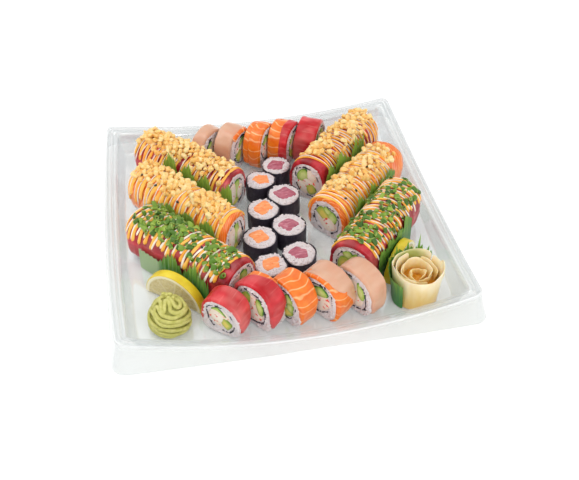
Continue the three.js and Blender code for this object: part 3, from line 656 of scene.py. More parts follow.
def spread_over(roll, layer, seed):
    """Places and axes for a layer of toppings, its random draws, and the size of its pieces: even
    along the roll by one step each with jitter, and across it by the golden ratio within spread
    degrees of the top. Those where a field is under patchy are left out."""
    count, start, end, spread, lift, size, patchy = layer
    random = seeded(seed, 61)
    t = start + (np.arange(count) + random.uniform(0, 1, count)) / count * (end - start)
    across = ((np.arange(count) * GOLDEN + random.uniform(0, 0.08, count)) % 1) * 2 - 1
    angle = QUARTER + np.radians(spread) * signed_power(across, 1.25)
    keep = wobble(roll_point(roll, t, angle), 26, seed + 4) > patchy
    t, angle = t[keep], angle[keep]
    at, *axes = roll_frame(roll, t, angle, lift + random.uniform(-0.4, 0.6, len(t)))
    return at, axes, random, size


def crunch(roll, layers, seed):
    """Puffed nuggets of batter in layers."""
    skins = []
    for number, layer in enumerate(layers, seed):
        at, axes, random, size = spread_over(roll, layer, number)
        n = len(at)
        frames = tumbled(axes, random, 0.5)
        sizes = np.stack([random.uniform(*span, n) for span in ((0.8, 1.45), (0.75, 1.1), (0.65, 1.0))], 1)
        sizes *= size * random.uniform(0.72, 1.15, (n, 1))
        shade = random.uniform(0, 1, n)
        skins.append(scattered(ball(6, 9), at, frames, sizes, "crunch", shade, 0.3, number, 1.3))
    return skins


def scallions(roll, layers, seed):
    """Chopped scallion in layers: short tubes, flattened and cut aslant, with a loop for the wall
    that goes up the outside and down the inside and is carried round."""
    skins = []
    for number, layer in enumerate(layers, seed):
        at, axes, random, size = spread_over(roll, layer, number)
        n = len(at)
        frames = tumbled(axes, random, 0.45)
        radius = size * random.uniform(0.62, 1.1, (n, 1, 1))
        half = radius * random.uniform(0.55, 1.5, (n, 1, 1))
        wall = radius * random.uniform(0.35, 0.8, (n, 1, 1))
        turn = np.linspace(0, TAU, 12, endpoint=False)[None, :, None]
        along_x = half * [-0.75, 0.75, 1, 0.85, -0.85, -1]
        chamfer, bore = 0.88 * radius, radius - wall
        out_r = np.concatenate([radius, radius, chamfer, bore, bore, chamfer], 2)
        squash = random.uniform(0.35, 0.85, (n, 1, 1))
        cut = random.uniform(-0.5, 0.5, (n, 1, 1)) * radius * np.cos(turn) * np.sign(along_x)
        dent = 1 + 0.1 * np.cos(2 * turn + random.uniform(0, TAU, (n, 1, 1)))
        rings = round_points(out_r * dent, turn, 0)
        rings = np.stack([along_x + cut, rings[..., 0], rings[..., 1] * squash], -1)
        rings = np.einsum("nij,nrcj->nrci", frames, rings) + at[:, None, None, :]
        skins.append(hoops(rings, "scallion", random.uniform(0, 1, n)))
    return skins


def seeds(roll, places, seed):
    """Black sesame seeds: drops, x = cos, ring (1 - 0.35 cos) sin."""
    random = seeded(seed, 71)
    t, angle = np.array(places, float).T
    at, *axes = roll_frame(roll, t, np.radians(angle), 1.8)
    unit = ball(5, 8)
    narrow = 1 - 0.35 * unit[..., :1]
    unit = np.concatenate([unit[..., :1], unit[..., 1:] * narrow], -1)
    n = len(t)
    frames = tumbled(axes, random, 0.2)
    return scattered(unit, at, frames, same(SEED_SIZE, n), "sesame", random.uniform(0, 1, n))


# ---------------------------------------------------------------- finishes

def linear(hexa):
    """sRGB hex as a linear colour."""
    rgb = np.array([int(hexa[i : i + 2], 16) for i in (1, 3, 5)]) / 255
    rgb = np.where(rgb <= 0.04045, rgb / 12.92, ((rgb + 0.055) / 1.055) ** 2.4)
    return (*rgb.tolist(), 1.0)


def add(tree, kind, inputs=(), **settings):
    """A node with its settings and its inputs, each a value or a socket to link."""
    node = tree.nodes.new("ShaderNode" + kind)
    for key, value in settings.items():
        setattr(node, key, value)
    for key, value in dict(inputs).items():
        if isinstance(value, bpy.types.NodeSocket):
            tree.links.new(value, node.inputs[key])
        else:
            node.inputs[key].default_value = value
    return node


def ramp(tree, share, stops):
    """Colour by share, through stops of (share, colour) in order."""
    node = add(tree, "ValToRGB", {0: share})
    marks = node.color_ramp.elements
    for place, _ in stops[1:-1]:
        marks.new(place)
    for mark, (place, colour) in zip(marks, stops):
        mark.position, mark.color = place, linear(colour)
    return node.outputs[0]


def remapped(tree, value, start, end, low=0, high=1, **settings):
    """A value taken from the range start to end to the range low to high, and kept inside it."""
    return add(tree, "MapRange", {0: value, 1: start, 2: end, 3: low, 4: high}, **settings).outputs[0]


def maths(tree, operation, *values):
    """The result of one step of arithmetic."""
    return add(tree, "Math", dict(enumerate(values)), operation=operation).outputs[0]


def mixed(tree, share, a, b):
    """A colour between a and b."""
    return add(tree, "Mix", {0: share, 6: a, 7: b}, data_type="RGBA").outputs[2]


def blended(tree, share, a, b):
    """A shader between a and b."""
    return add(tree, "MixShader", {0: share, 1: a, 2: b}).outputs[0]


def own_shade(tree):
    """The shade that sets one small thing apart from the next."""
    return add(tree, "Attribute", attribute_name="shade").outputs["Fac"]


def surface_place(tree):
    """The surface's own two coordinates."""
    where = add(tree, "UVMap", uv_map="surface").outputs[0]
    return add(tree, "SeparateXYZ", {0: where}).outputs[:2]


def bumped(tree, height, distance, strength):
    """A normal from a height field; distance is in millimetres."""
    inputs = {"Height": height, "Distance": distance / 1000, "Strength": strength}
    return add(tree, "Bump", inputs).outputs[0]


def object_noise(tree, size, detail, stretch=(1, 1, 1), rough=0.5):
    """Noise on object coordinates whose lumps are size millimetres wide."""
    where = add(tree, "TexCoord").outputs["Object"]
    where = add(tree, "Mapping", {"Vector": where, "Scale": stretch}).outputs[0]
    inputs = {"Vector": where, "Scale": 1000 / size, "Detail": detail, "Roughness": rough}
    return add(tree, "TexNoise", inputs).outputs[0]


def surface_noise(tree, across, along, detail, turn=0.0):
    """Noise on the surface's own coordinates, across by along millimetres."""
    where = add(tree, "UVMap", uv_map="surface").outputs[0]
    inputs = {"Vector": where, "Scale": (1 / across, 1 / along, 1), "Rotation": (0, 0, turn)}
    where = add(tree, "Mapping", inputs).outputs[0]
    return add(tree, "TexNoise", {"Vector": where, "Scale": 1.0, "Detail": detail}).outputs[0]


def skin_shader(tree, colour, rough, normal=None, ior=1.5, coat=(), soft=()):
    """A Principled shader; rough may be a value or a socket. coat is the weight and roughness of a
    wet film. soft is how much light goes in, and how many millimetres its red, green and blue go."""
    inputs = {"Base Color": colour, "Roughness": rough, "IOR": ior}
    inputs.update(zip(("Coat Weight", "Coat Roughness"), coat))
    if normal:
        inputs["Normal"] = normal
    if soft:
        inputs["Subsurface Weight"] = soft[0]
        inputs["Subsurface Radius"] = [far / 1000 for far in soft[1:]]
    return add(tree, "BsdfPrincipled", inputs).outputs[0]


def new_finish(name, shader, *settings):
    """A material named for the real finish, with the surface shader(tree, *settings)."""
    material = bpy.data.materials.new(name)
    material.use_nodes = True
    tree = material.node_tree
    tree.nodes.clear()
    add(tree, "OutputMaterial", {"Surface": shader(tree, *settings)})
    return material


def tuna_shader(tree, deep, middle, pale, cloud, most):
    """Raw tuna loin, sliced: wet lean flesh. Crimson with rosier bands about a centimetre wide that
    run slantwise, pale pink clouds that are partly the flesh's mottling and partly a painted sheen,
    stronger on some slices than on others, thin pale streaks, and a soft wet gloss."""
    bands = surface_noise(tree, 16, 34, 3, 0.5)
    base = ramp(tree, bands, [(0.4, deep), (0.52, middle), (0.64, pale)])
    shade = own_shade(tree)
    # pale pink clouds, partly mottling of the flesh and partly a painted sheen, scaled by a share per slice
    cloudy = remapped(tree, object_noise(tree, 24, 2), 0.42, 0.62, 0.0, most)
    cloudy = maths(tree, "MULTIPLY", cloudy, shade)
    base = mixed(tree, cloudy, base, linear(cloud))
    streak = remapped(tree, surface_noise(tree, 2.6, 24, 2, 0.5), 0.58, 0.7, 0, 0.25)
    base = mixed(tree, streak, base, linear(cloud))
    fibre = surface_noise(tree, 0.8, 9, 2, 0.5)
    normal = bumped(tree, fibre, 0.25, 0.5)
    return skin_shader(tree, base, 0.3, normal, 1.36, coat=(0.2, 0.16), soft=(0.2, 3, 1, 0.8))


def salmon_shader(tree):
    """Raw salmon fillet, sliced: orange flesh crossed by bowed pale fat lines, about one millimetre
    wide and eight apart, with a wet gloss."""
    u, v = surface_place(tree)
    waver = surface_noise(tree, 11, 15, 1)
    bow = maths(tree, "MULTIPLY", v, v)
    reach = maths(tree, "MULTIPLY_ADD", bow, 0.034, u)
    reach = maths(tree, "MULTIPLY_ADD", waver, 9.0, reach)
    line = maths(tree, "PINGPONG", reach, 4.1)
    fat = remapped(tree, line, 0.2, 0.95, 1.0, 0.0, interpolation_type="SMOOTHSTEP")
    patch = surface_noise(tree, 9, 9, 2)
    flesh = ramp(tree, patch, [(0.3, "#E4650E"), (0.75, "#F58522")])
    weak = remapped(tree, patch, 0.3, 0.6, 0.3, 0.85)
    share = maths(tree, "MULTIPLY", fat, weak)
    base = mixed(tree, share, flesh, linear("#FBC88E"))
    normal = bumped(tree, fat, 0.12, 0.6)
    return skin_shader(tree, base, 0.28, normal, 1.4, coat=(0.35, 0.15), soft=(0.2, 4, 1.8, 0.8))


def white_fish_shader(tree):
    """Raw white fish with its pink side up: peach flesh, nearly even, faint pale grain."""
    bands = surface_noise(tree, 14, 40, 2, -0.4)
    base = ramp(tree, bands, [(0.25, "#CC9272"), (0.75, "#DDB296")])
    blush = object_noise(tree, 26, 2)
    base = mixed(tree, remapped(tree, blush, 0.5, 0.75, 0, 0.4), base, linear("#DE947A"))
    normal = bumped(tree, surface_noise(tree, 0.9, 8, 2, -0.4), 0.2, 0.4)
    return skin_shader(tree, base, 0.3, normal, 1.4, coat=(0.3, 0.2), soft=(0.3, 5, 3, 2))


def rice_shader(tree):
    """Cooked, seasoned short-grain rice: milk-white and a little sticky, so it has a soft shine; grains
    differ a little in warmth, and those beside the fish are painted pinker for the light it throws on them."""
    shade = own_shade(tree)
    # the pink end of the ramp is a painted glow of light from the fish
    base = ramp(tree, shade, [(0.0, "#D5CCCD"), (0.6, "#DED4D4"), (1.0, "#D5B9B5")])
    normal = bumped(tree, object_noise(tree, 1.6, 2), 0.35, 0.6)
    return skin_shader(tree, base, 0.42, normal, 1.4, soft=(0.25, 3, 2.5, 2))


def seaweed_shader(tree):
    """Toasted nori, pressed and dried: black with a violet cast, a paper-like grain of crumpled
    fibres, satin where it is damp."""
    grain = object_noise(tree, 2.2, 6, rough=0.7)
    base = ramp(tree, grain, [(0.3, "#18121D"), (0.8, "#433949")])
    rough = remapped(tree, grain, 0, 1, 0.35, 0.6)
    return skin_shader(tree, base, rough, bumped(tree, grain, 0.5, 0.9), 1.45)


def cut_shader(tree, stops, patch_size, rough=0.4, flecks=None):
    """The cut flesh of a filling: a ramp from its middle to its rim, moved about by noise."""
    u, _ = surface_place(tree)
    noise = object_noise(tree, patch_size, 3)
    place = maths(tree, "MULTIPLY_ADD", noise, 0.5, u)
    place = maths(tree, "SUBTRACT", place, 0.25)
    base = ramp(tree, place, stops)
    if flecks:
        colour, size, low = flecks
        spots = object_noise(tree, size, 1, (1, 1, 1))
        share = remapped(tree, spots, low, low + 0.05)
        base = mixed(tree, share, base, linear(colour))
    normal = bumped(tree, object_noise(tree, 1.1, 3), 0.4, 0.7)
    return skin_shader(tree, base, rough, normal, 1.4, soft=(0.15, 2, 2, 1))


def sauce_shader(tree, low, high):
    """Mayonnaise sauce from a squeeze bottle: smooth, opaque and glossy."""
    shade = own_shade(tree)
    noise = object_noise(tree, 6, 2)
    place = maths(tree, "MULTIPLY_ADD", shade, 0.5, noise)
    base = ramp(tree, place, [(0.3, low), (1.0, high)])
    return skin_shader(tree, base, 0.22, bumped(tree, noise, 0.3, 0.4), 1.45, coat=(0.2,),
                       soft=(0.15, 3, 2, 1))


def crunch_shader(tree):
    """Crisp fried batter: puffed, matt and pale gold, toasted here and there."""
    shade = own_shade(tree)
    noise = object_noise(tree, 2.5, 4)
    place = maths(tree, "MULTIPLY_ADD", shade, 0.45, noise)
    base = ramp(tree, place, [(0.35, "#EEB250"), (0.65, "#F8CB7C"), (1.0, "#FEE4A8")])
    normal = bumped(tree, object_noise(tree, 0.9, 3), 0.5, 0.8)
    return skin_shader(tree, base, 0.5, normal, 1.45, soft=(0.4, 3, 2, 1))


def scallion_shader(tree):
    """Fresh scallion tops, chopped: waxy skin, bright to deep green, paler on the cut and inside."""
    shade = own_shade(tree)
    base = ramp(tree, shade, [(0.0, "#335A18"), (0.5, "#588022"), (1.0, "#93AE3E")])
    _, v = surface_place(tree)
    inside = remapped(tree, v, 0.3, 0.4, 0, 0.6)
    base = mixed(tree, inside, base, linear("#B2C766"))
    normal = bumped(tree, object_noise(tree, 1.2, 2), 0.3, 0.5)
    return skin_shader(tree, base, 0.35, normal, 1.4, soft=(0.1, 1, 2, 0.5))


def sesame_shader(tree):
    """Roasted black sesame: matt black skin with a fine pitted grain."""
    grain = object_noise(tree, 0.5, 2)
    base = ramp(tree, grain, [(0.3, "#0D0B0C"), (0.8, "#2B2628")])
    return skin_shader(tree, base, 0.4, bumped(tree, grain, 0.1, 0.6))


def grass_shader(tree):
    """Printed and embossed plastic film for a lunch box: green, a little see-through, with ribs along
    its blades about a millimetre apart, deeper green at the foot, yellower at the tips, and pale where
    it is flat, from the milk-white of the film and a painted sheen that is strong on leaves in the light
    and absent on one in shade."""
    u, v = surface_place(tree)
    ribs = maths(tree, "PINGPONG", u, 0.6)
    streak = surface_noise(tree, 1.6, 40, 2)
    place = remapped(tree, v, 4.0, 60.0, 0.17, 0.92)
    place = maths(tree, "MULTIPLY_ADD", streak, 0.7, place)
    base = ramp(tree, place, [(0.3, "#288C42"), (0.62, "#58A648"), (1.0, "#A8CF60")])
    veins = remapped(tree, ribs, 0.0, 0.25, 0.35, 0.0)
    base = mixed(tree, veins, base, linear("#1F7A3A"))
    shade = own_shade(tree)
    # pale flat end: milk-white film plus a painted sheen, by a share set per leaf
    base = mixed(tree, remapped(tree, shade, 0, 1, 0, 0.85), base, linear("#CCE2B4"))
    shader = skin_shader(tree, base, 0.3, bumped(tree, ribs, 0.15, 0.7), 1.5, coat=(0.2,))
    glow = add(tree, "BsdfTranslucent", {"Color": base}).outputs[0]
    return blended(tree, 0.42, shader, glow)


def lemon_shader(tree):
    """A fresh lemon slice: oily yellow rind with fine pits, white pith, and pale flesh in segments
    between thin skins. Its surface coordinates are the radius in shares and the angle in segments."""
    u, v = surface_place(tree)
    pulp = surface_noise(tree, 0.07, 0.16, 3)
    flesh = ramp(tree, pulp, [(0.3, "#CDB87A"), (0.75, "#E6D8A6")])
    seam = maths(tree, "PINGPONG", v, 0.5)
    seam = maths(tree, "MULTIPLY", seam, u)
    skins = remapped(tree, seam, 0.02, 0.06, 1.0, 0.0)
    middle = remapped(tree, u, 0.08, 0.14, 1.0, 0.0)
    skins = maths(tree, "MAXIMUM", skins, middle)
    base = mixed(tree, skins, flesh, linear("#E2D3A2"))
    pith = remapped(tree, u, 0.86, 0.89)
    base = mixed(tree, pith, base, linear("#F8EFCF"))
    zest = ramp(tree, object_noise(tree, 9, 2), [(0.3, "#DCBE1E"), (0.75, "#EED73A")])
    rind = remapped(tree, u, 0.955, 0.975)
    base = mixed(tree, rind, base, zest)
    where = add(tree, "TexCoord").outputs["Object"]
    pits = add(tree, "TexVoronoi", {"Vector": where, "Scale": 1000 / 1.5}).outputs[0]
    return skin_shader(tree, base, 0.35, bumped(tree, pits, 0.2, 0.6), 1.4, coat=(0.15,), soft=(0.2, 4, 3, 1))


def wasabi_shader(tree):
    """Mixed wasabi paste, piped: dense, matt and slightly grainy, pale yellow-green, with a painted
    shade, a deeper olive, on the core between its strands."""
    noise = object_noise(tree, 3.5, 4)
    base = ramp(tree, noise, [(0.3, "#B6B458"), (0.75, "#D8D284")])
    # painted shade: the core (shade 0) is darkened towards olive, the strands (shade 1) are not
    between = remapped(tree, own_shade(tree), 0, 0.75, 0.6, 0)
    base = mixed(tree, between, base, linear("#8F8E3A"))
    normal = bumped(tree, object_noise(tree, 0.8, 3), 0.3, 0.6)
    return skin_shader(tree, base, 0.5, normal, 1.4, soft=(0.08, 1, 1.2, 0.5))


def ginger_shader(tree):
    """Pickled ginger in thin slices: moist and see-through, cream on the lips, with fibres along the
    slice; deep in the folds its colour goes to amber, which is painted shade; one petal is still greenish."""
    _, v = surface_place(tree)
    # the ramp from amber low down to cream at the lips paints the shade of the folds
    place = maths(tree, "MULTIPLY_ADD", surface_noise(tree, 10, 0.3, 2), 0.35, v)
    base = ramp(tree, place, [(0.3, "#DA9628"), (0.72, "#E9C87A"), (1.0, "#F7EAC6")])
    shade = own_shade(tree)
    green = remapped(tree, shade, 0.12, 0.75, 0, 0.85)
    base = mixed(tree, green, base, linear("#A9B557"))
    normal = bumped(tree, surface_noise(tree, 3, 0.04, 2), 0.3, 0.5)
    return skin_shader(tree, base, 0.3, normal, 1.4, coat=(0.25,), soft=(0.35, 6, 4, 1.5))


def plastic_shader(tree):
    """Clear PET, thermoformed: a thin glossy sheet that whitens edge-on and is drawn a little hazy here
    and there. Its grey edge-on is a painted reflection of darker surroundings; the white lines on its
    bends are partly the whitening of the drawn sheet and partly painted highlight, and the dark lines
    beside them are painted shade. Light for the things under it passes straight through."""
    haze = object_noise(tree, 40, 2)
    edge_on = add(tree, "LayerWeight", {"Blend": 0.5}).outputs["Facing"]
    # painted reflection: the see-through colour greys edge-on as if the sheet mirrored darker surroundings
    tint = ramp(tree, edge_on, [(0.3, "#F4F5F5"), (0.7, "#EFF1F2"), (1.0, "#DADCDE")])
    body = remapped(tree, edge_on, 0.2, 1, 0.05, 0.36)
    body = maths(tree, "MULTIPLY_ADD", haze, 0.1, body)
    bend = own_shade(tree)
    # painted dark lines beside the bends, and white lines on them, partly the sheet's whitening and partly
    # painted highlight
    dull = remapped(tree, bend, 0.5, 0.0, 0, 0.6)
    shine = remapped(tree, bend, 0.5, 1.0, 0, 0.95)
    body = maths(tree, "MAXIMUM", body, shine)
    clear = add(tree, "BsdfTransparent", {"Color": mixed(tree, dull, tint, linear("#CCD0D1"))}).outputs[0]
    matt = skin_shader(tree, linear("#F2F4F5"), 0.25, ior=1.57)
    lit = add(tree, "BsdfTranslucent", {"Color": linear("#F4F6F7")}).outputs[0]
    milk = blended(tree, 0.5, matt, lit)
    through = blended(tree, body, clear, milk)
    mirror = add(tree, "BsdfGlossy", {"Color": (1, 1, 1, 1), "Roughness": 0.07}).outputs[0]
    face = add(tree, "LayerWeight", {"Blend": 0.5, "Normal": bumped(tree, haze, 0.4, 0.3)}).outputs["Facing"]
    steep = maths(tree, "POWER", face, 4.0)
    gloss = remapped(tree, steep, 0, 1, 0.09, 0.8)
    sheet = blended(tree, gloss, through, mirror)
    shadow = add(tree, "LightPath").outputs["Is Shadow Ray"]
    free = add(tree, "BsdfTransparent", {"Color": linear("#FBFBFA")}).outputs[0]
    return blended(tree, shadow, sheet, free)


def maki_fish_shader(tree, low, high, pale):
    """A bar of raw fish seen on the cut: finer grain than a slice, with a few pale fibres."""
    grain = object_noise(tree, 5, 3, (1, 2.2, 1))
    base = ramp(tree, grain, [(0.3, low), (0.72, high)])
    lines = remapped(tree, object_noise(tree, 3.4, 1, (0.5, 2, 1)), 0.62, 0.68, 0, 0.5)
    base = mixed(tree, lines, base, linear(pale))
    normal = bumped(tree, object_noise(tree, 1.2, 2), 0.3, 0.6)
    return skin_shader(tree, base, 0.35, normal, 1.4, coat=(0.25, 0.2), soft=(0.2, 3, 1.5, 1))


# Finishes: key, name of the material, its shader and that shader's settings.
FINISH_TABLE = [
    # tuna finishes: deep, middle and pale band colours, the pale pink for mottling, painted sheen and
    # streaks, and how strong that pink may get
    ("tuna", "raw_tuna_wet_cut", tuna_shader, "#B80616", "#CE1A28", "#DE4448", "#EE9890", 0.85),
    ("red_tuna", "raw_red_tuna_wet_cut", tuna_shader, "#B00010", "#C20A1C", "#D22834", "#EA7C7A", 0.5),
    # tuna on the long rolls: darker flesh with painted shade, as the rolls' flanks lie in shade
    ("dark_tuna", "raw_dark_tuna_wet_cut", tuna_shader, "#88081A", "#AA1626", "#CA323C", "#D46A68", 0.6),
    ("salmon", "raw_salmon_wet_cut", salmon_shader),
    ("white", "raw_white_fish_wet_cut", white_fish_shader),
    ("maki_salmon", "raw_salmon_bar", maki_fish_shader, "#F08445", "#FFA566", "#FFD0A6"),
    ("maki_tuna", "raw_tuna_bar", maki_fish_shader, "#9C4458", "#BE6C7C", "#D898A2"),
    ("rice", "cooked_sushi_rice", rice_shader),
    ("seaweed", "pressed_nori", seaweed_shader),
    ("avocado", "ripe_avocado", cut_shader, [(0.35, "#DDCB62"), (0.8, "#A9B44A"), (1.0, "#6F8F33")], 5),
    ("cucumber", "raw_cucumber", cut_shader, [(0.3, "#CFDB8E"), (0.82, "#9DBB4F"), (1.0, "#2F6B25")], 4),
    ("crab", "pressed_crab_stick", cut_shader, [(0.3, "#F3E8DA"), (1.0, "#E9D3C0")], 3, 0.42,
     ("#E5503E", 3.2, 0.62)),
    ("orange_sauce", "spicy_mayonnaise", sauce_shader, "#F5991F", "#FFC352"),
    ("white_sauce", "plain_mayonnaise", sauce_shader, "#F1E2CC", "#FBF3E6"),
    ("crunch", "fried_batter_nuggets", crunch_shader),
    ("scallion", "chopped_scallion", scallion_shader),
    ("sesame", "black_sesame", sesame_shader),
    ("grass", "embossed_green_film", grass_shader),
    ("lemon", "cut_lemon", lemon_shader),
    ("wasabi", "wasabi_paste", wasabi_shader),
    ("ginger", "pickled_ginger_slices", ginger_shader),
    ("plastic", "clear_thermoformed_pet", plastic_shader),
]
FINISHES = {key: new_finish(name, shader, *settings) for key, name, shader, *settings in FINISH_TABLE}


# ---------------------------------------------------------------- the tray

SIDE_STEPS, CORNER_STEPS = 36, 12  # points along each side and round each corner of the tray


def bowed_square(half, radius, bow):
    """Points round a square with round corners whose sides bulge by bow (1 - t^2)."""
    straight = half - radius
    t = -1 + 2 * np.arange(SIDE_STEPS) / SIDE_STEPS
    side = np.stack([t * straight, -half - bow * (1 - t * t)], 1)
    turn = (-1 + np.arange(CORNER_STEPS) / CORNER_STEPS) * QUARTER
    arc = np.stack([straight + radius * np.cos(turn), -straight + radius * np.sin(turn)], 1)
    quarter = np.concatenate([side, arc])
    turns = [(math.cos(k * QUARTER), math.sin(k * QUARTER)) for k in range(4)]
    return np.concatenate([quarter @ np.array([[c, s], [-s, c]]) for c, s in turns])


def rounded_profile(stations):
    """Stations of a profile with their corners cut three times, each by a share of the stretches
    beside it, so that the bends are round."""
    p, share = np.array(stations, float), 0.22
    for _ in range(3):
        a, b = p[:-1], p[1:]
        cut = np.stack([a * (1 - share) + b * share, a * share + b * (1 - share)], 1)
        p = np.concatenate([p[:1], cut.reshape(-1, p.shape[1])[1:-1], p[-1:]])
    return p


def finer(profile, low, high, step):
    """A profile with its long stretches between two half widths cut into short ones."""
    rows = [profile[:1]]
    for a, b in zip(profile[:-1], profile[1:]):
        cuts = int(np.abs(b - a)[[0, 4]].max() / step) if low < b[0] < high else 0
        rows.append(a + (b - a) * (np.arange(cuts + 1)[:, None] + 1) / (cuts + 1))
    return np.concatenate(rows)


# The tray's sheet, over and under, in stations from the skirt's foot to the floor: half width,
# radius of the corners, bow of the sides, how much of the rim's rise it has, and how far over it.
SEAT_HALF, INNER_HALF = RIM_HALF - 0.55 * FLANGE_WIDTH, RIM_HALF - FLANGE_WIDTH
FLAT_FLOOR = 0.93  # where the floor is quite flat, as a share of its half width
OVER = [
    (FOOT_HALF, 13, FOOT_BOW, 0, 0), (FOOT_HALF - 0.8, 13, FOOT_BOW, 0.03, 0.5),
    (RIM_HALF + 1.6, 11, RIM_BOW * 0.85, 0.55, 0), (RIM_HALF, RIM_RADIUS, RIM_BOW, 1, -0.8),
    (RIM_HALF - 1, RIM_RADIUS - 1, RIM_BOW, 1, 0), (SEAT_HALF + 0.7, 6, RIM_BOW, 1, -0.5),
    (SEAT_HALF, 5.5, RIM_BOW, 1, -0.5 - SEAT_STEP), (INNER_HALF, 5, RIM_BOW, 1, -FLANGE_DROP),
    (FLOOR_HALF + 2.2, 7, FLOOR_BOW, 0, SHEET + 2.4), (FLOOR_HALF, 8, FLOOR_BOW, 0, SHEET),
    (FLOOR_HALF * FLAT_FLOOR, 7, FLOOR_BOW * FLAT_FLOOR, 0, SHEET),
]
UNDER = [
    (FOOT_HALF - SHEET, 12, FOOT_BOW, 0, 0), (RIM_HALF + 1.6 - SHEET, 10, RIM_BOW * 0.85, 0.55, -SHEET),
    (RIM_HALF - 1.4, RIM_RADIUS - 1, RIM_BOW, 1, -0.5 - SEAT_STEP),
    (SEAT_HALF + SHEET, 5.5, RIM_BOW, 1, -0.5 - SEAT_STEP - SHEET),
    (INNER_HALF + SHEET, 5, RIM_BOW, 1, -FLANGE_DROP - SHEET),
    (FLOOR_HALF + 3.2, 7, FLOOR_BOW, 0, SHEET + 1.8),
    (FLOOR_HALF + 0.6, 8, FLOOR_BOW, 0, 0), (FLOOR_HALF * FLAT_FLOOR, 7, FLOOR_BOW * FLAT_FLOOR, 0, 0),
]
# The lines painted along the tray: on the bends, white lines that are partly the whitening of the
# drawn sheet and partly painted highlight, and beside them dark lines of painted shade: half width,
# reach, strength.
SHINING = [(RIM_HALF - 0.5, 0.8, 0.5), (SEAT_HALF + 0.3, 0.55, 0.45), (INNER_HALF + 0.5, 0.6, 0.35),
           (FLOOR_HALF + 1.5, 0.8, 0.15)]
DULL = [(RIM_HALF - 2.3, 0.7, 0.25), (SEAT_HALF - 1.0, 0.6, 0.4), (INNER_HALF - 0.9, 0.7, 0.25)]


def lines_at(half, lines):
    """How strong the lines are at a half width: the sum of strength exp(-(distance / reach)^2)."""
    return sum(k * math.exp(-(((half - at) / wide) ** 2)) for at, wide, k in lines)


def tray_skin():
    """The tray's rings as two nets, one over and one under the sheet, each closed at the middle of
    the floor, and joined along the skirt's foot. Its shade is over 0.5 on the bends, which get white
    lines, partly whitening of the drawn sheet and partly painted highlight, and under it just inside
    them, where dark lines of painted shade go."""
    rim = bowed_square(RIM_HALF, RIM_RADIUS, RIM_BOW)
    t = np.abs(rim).min(1) / RIM_HALF
    heights = RIM_CORNER_HEIGHT - RIM_DIP * (1 - t * t)
    nets, shades = [], []
    for stations in (OVER, UNDER):
        rings = []
        for half, radius, bow, share, rise in finer(rounded_profile(stations), FLOOR_HALF, RIM_HALF + 1, 0.4):
            rings.append(np.column_stack([bowed_square(half, radius, bow), share * heights + rise]))
            # white lines on the bends, partly painted highlight, less the painted dark lines beside them
            shine = lines_at(half, SHINING) - lines_at(half, DULL)
            shades.append(0.5 + shine * (stations is OVER))
        rings += [rings[-1] * [k, k, 1] for k in (0.75, 0.5, 0.25)]
        shades += [0.5] * 3
        nets.append(np.array(rings))
    over, under = nets
    shell = loft(np.concatenate([over[::-1], under]), "plastic")
    first, round_it = over.shape[:2]
    shades = np.concatenate([shades[:first][::-1], shades[first:]])
    shell.shade[: len(shades) * round_it] = np.repeat(shades, round_it)
    return shell


make("tray_shell", [tray_skin()], "clear_plastic", "tray")


# ---------------------------------------------------------------- long rolls and slices

def placed(skins, x, y, degrees=0.0):
    """Skins turned about the vertical and stood on the tray's floor."""
    return [s.moved(x, y, REST, degrees) for s in skins]


# Toppings on a long roll, in layers: count, start, end, spread in degrees, lift, size, patchy.
TOPPINGS = {
    "roll_left_back": [(104, 8, 113, 40, 1.7, 3.1, -0.6), (58, 14, 102, 25, 4.4, 2.9, -0.4)],
    "roll_left_mid": [(104, 22, 119, 36, 1.7, 3.1, -0.55), (46, 30, 104, 22, 4.4, 2.9, -0.25),
                      (12, 8, 24, 30, 1.7, 3.0, -9)],
    "roll_left_front": [(66, 56, 113, 44, 1.5, 2.7, -0.5), (30, 64, 108, 30, 2.8, 2.6, -0.15),
                        (66, 6, 58, 46, 1.4, 2.6, 0.05)],
    "roll_right_back": [(96, 12, 108, 42, 1.7, 3.0, -0.5), (44, 16, 100, 26, 4.2, 2.8, -0.1)],
    "roll_right_mid": [(86, 14, 99, 40, 1.7, 3.0, -0.45), (42, 18, 95, 24, 4.2, 2.8, -0.1)],
    "roll_right_front": [(108, 6, 105, 56, 1.5, 2.65, -0.25), (40, 16, 100, 38, 2.8, 2.5, -0.05)],
}
# Black sesame seeds on the long rolls: distance along it and angle round it.
SEEDS = {
    "roll_left_mid": [(24, 70), (58, 52), (70, 98), (88, 60), (99, 88), (108, 66), (34, 100)],
    "roll_left_front": [(38, 80), (70, 75)],
    "roll_right_mid": [(14, 118), (30, 122), (52, 116), (62, 100), (18, 74)],
    "roll_right_front": [(66, 92), (72, 112), (98, 96), (102, 100)],
}

# What fills each long roll and each slice, in the order of the tables.
LONG_FILLINGS = ["left", "left", "left", "right_back", "right_mid", "right_front"]
SLICE_FILLINGS = [
    "slice_a", "slice_b", "slice_c", "slice_d", "slice_b", "slice_c", "slice_a", "slice_d", "slice_c",
    "slice_b",
]
LONG_LOW, LONG_HIGH = -33, 213  # lower edges of the fish on a long roll, in degrees
FACE_GRAINS, FLANK_GRAINS, TAIL_GRAINS = 190, 150, 60  # grains of rice on each
OVERLAP = 27  # pitch of the slices of fish along a long roll
CUT = 0.2  # how far inside a cut face its grains start
STRIP_RISE = 0.7  # how far a second strip of fish lies over the first


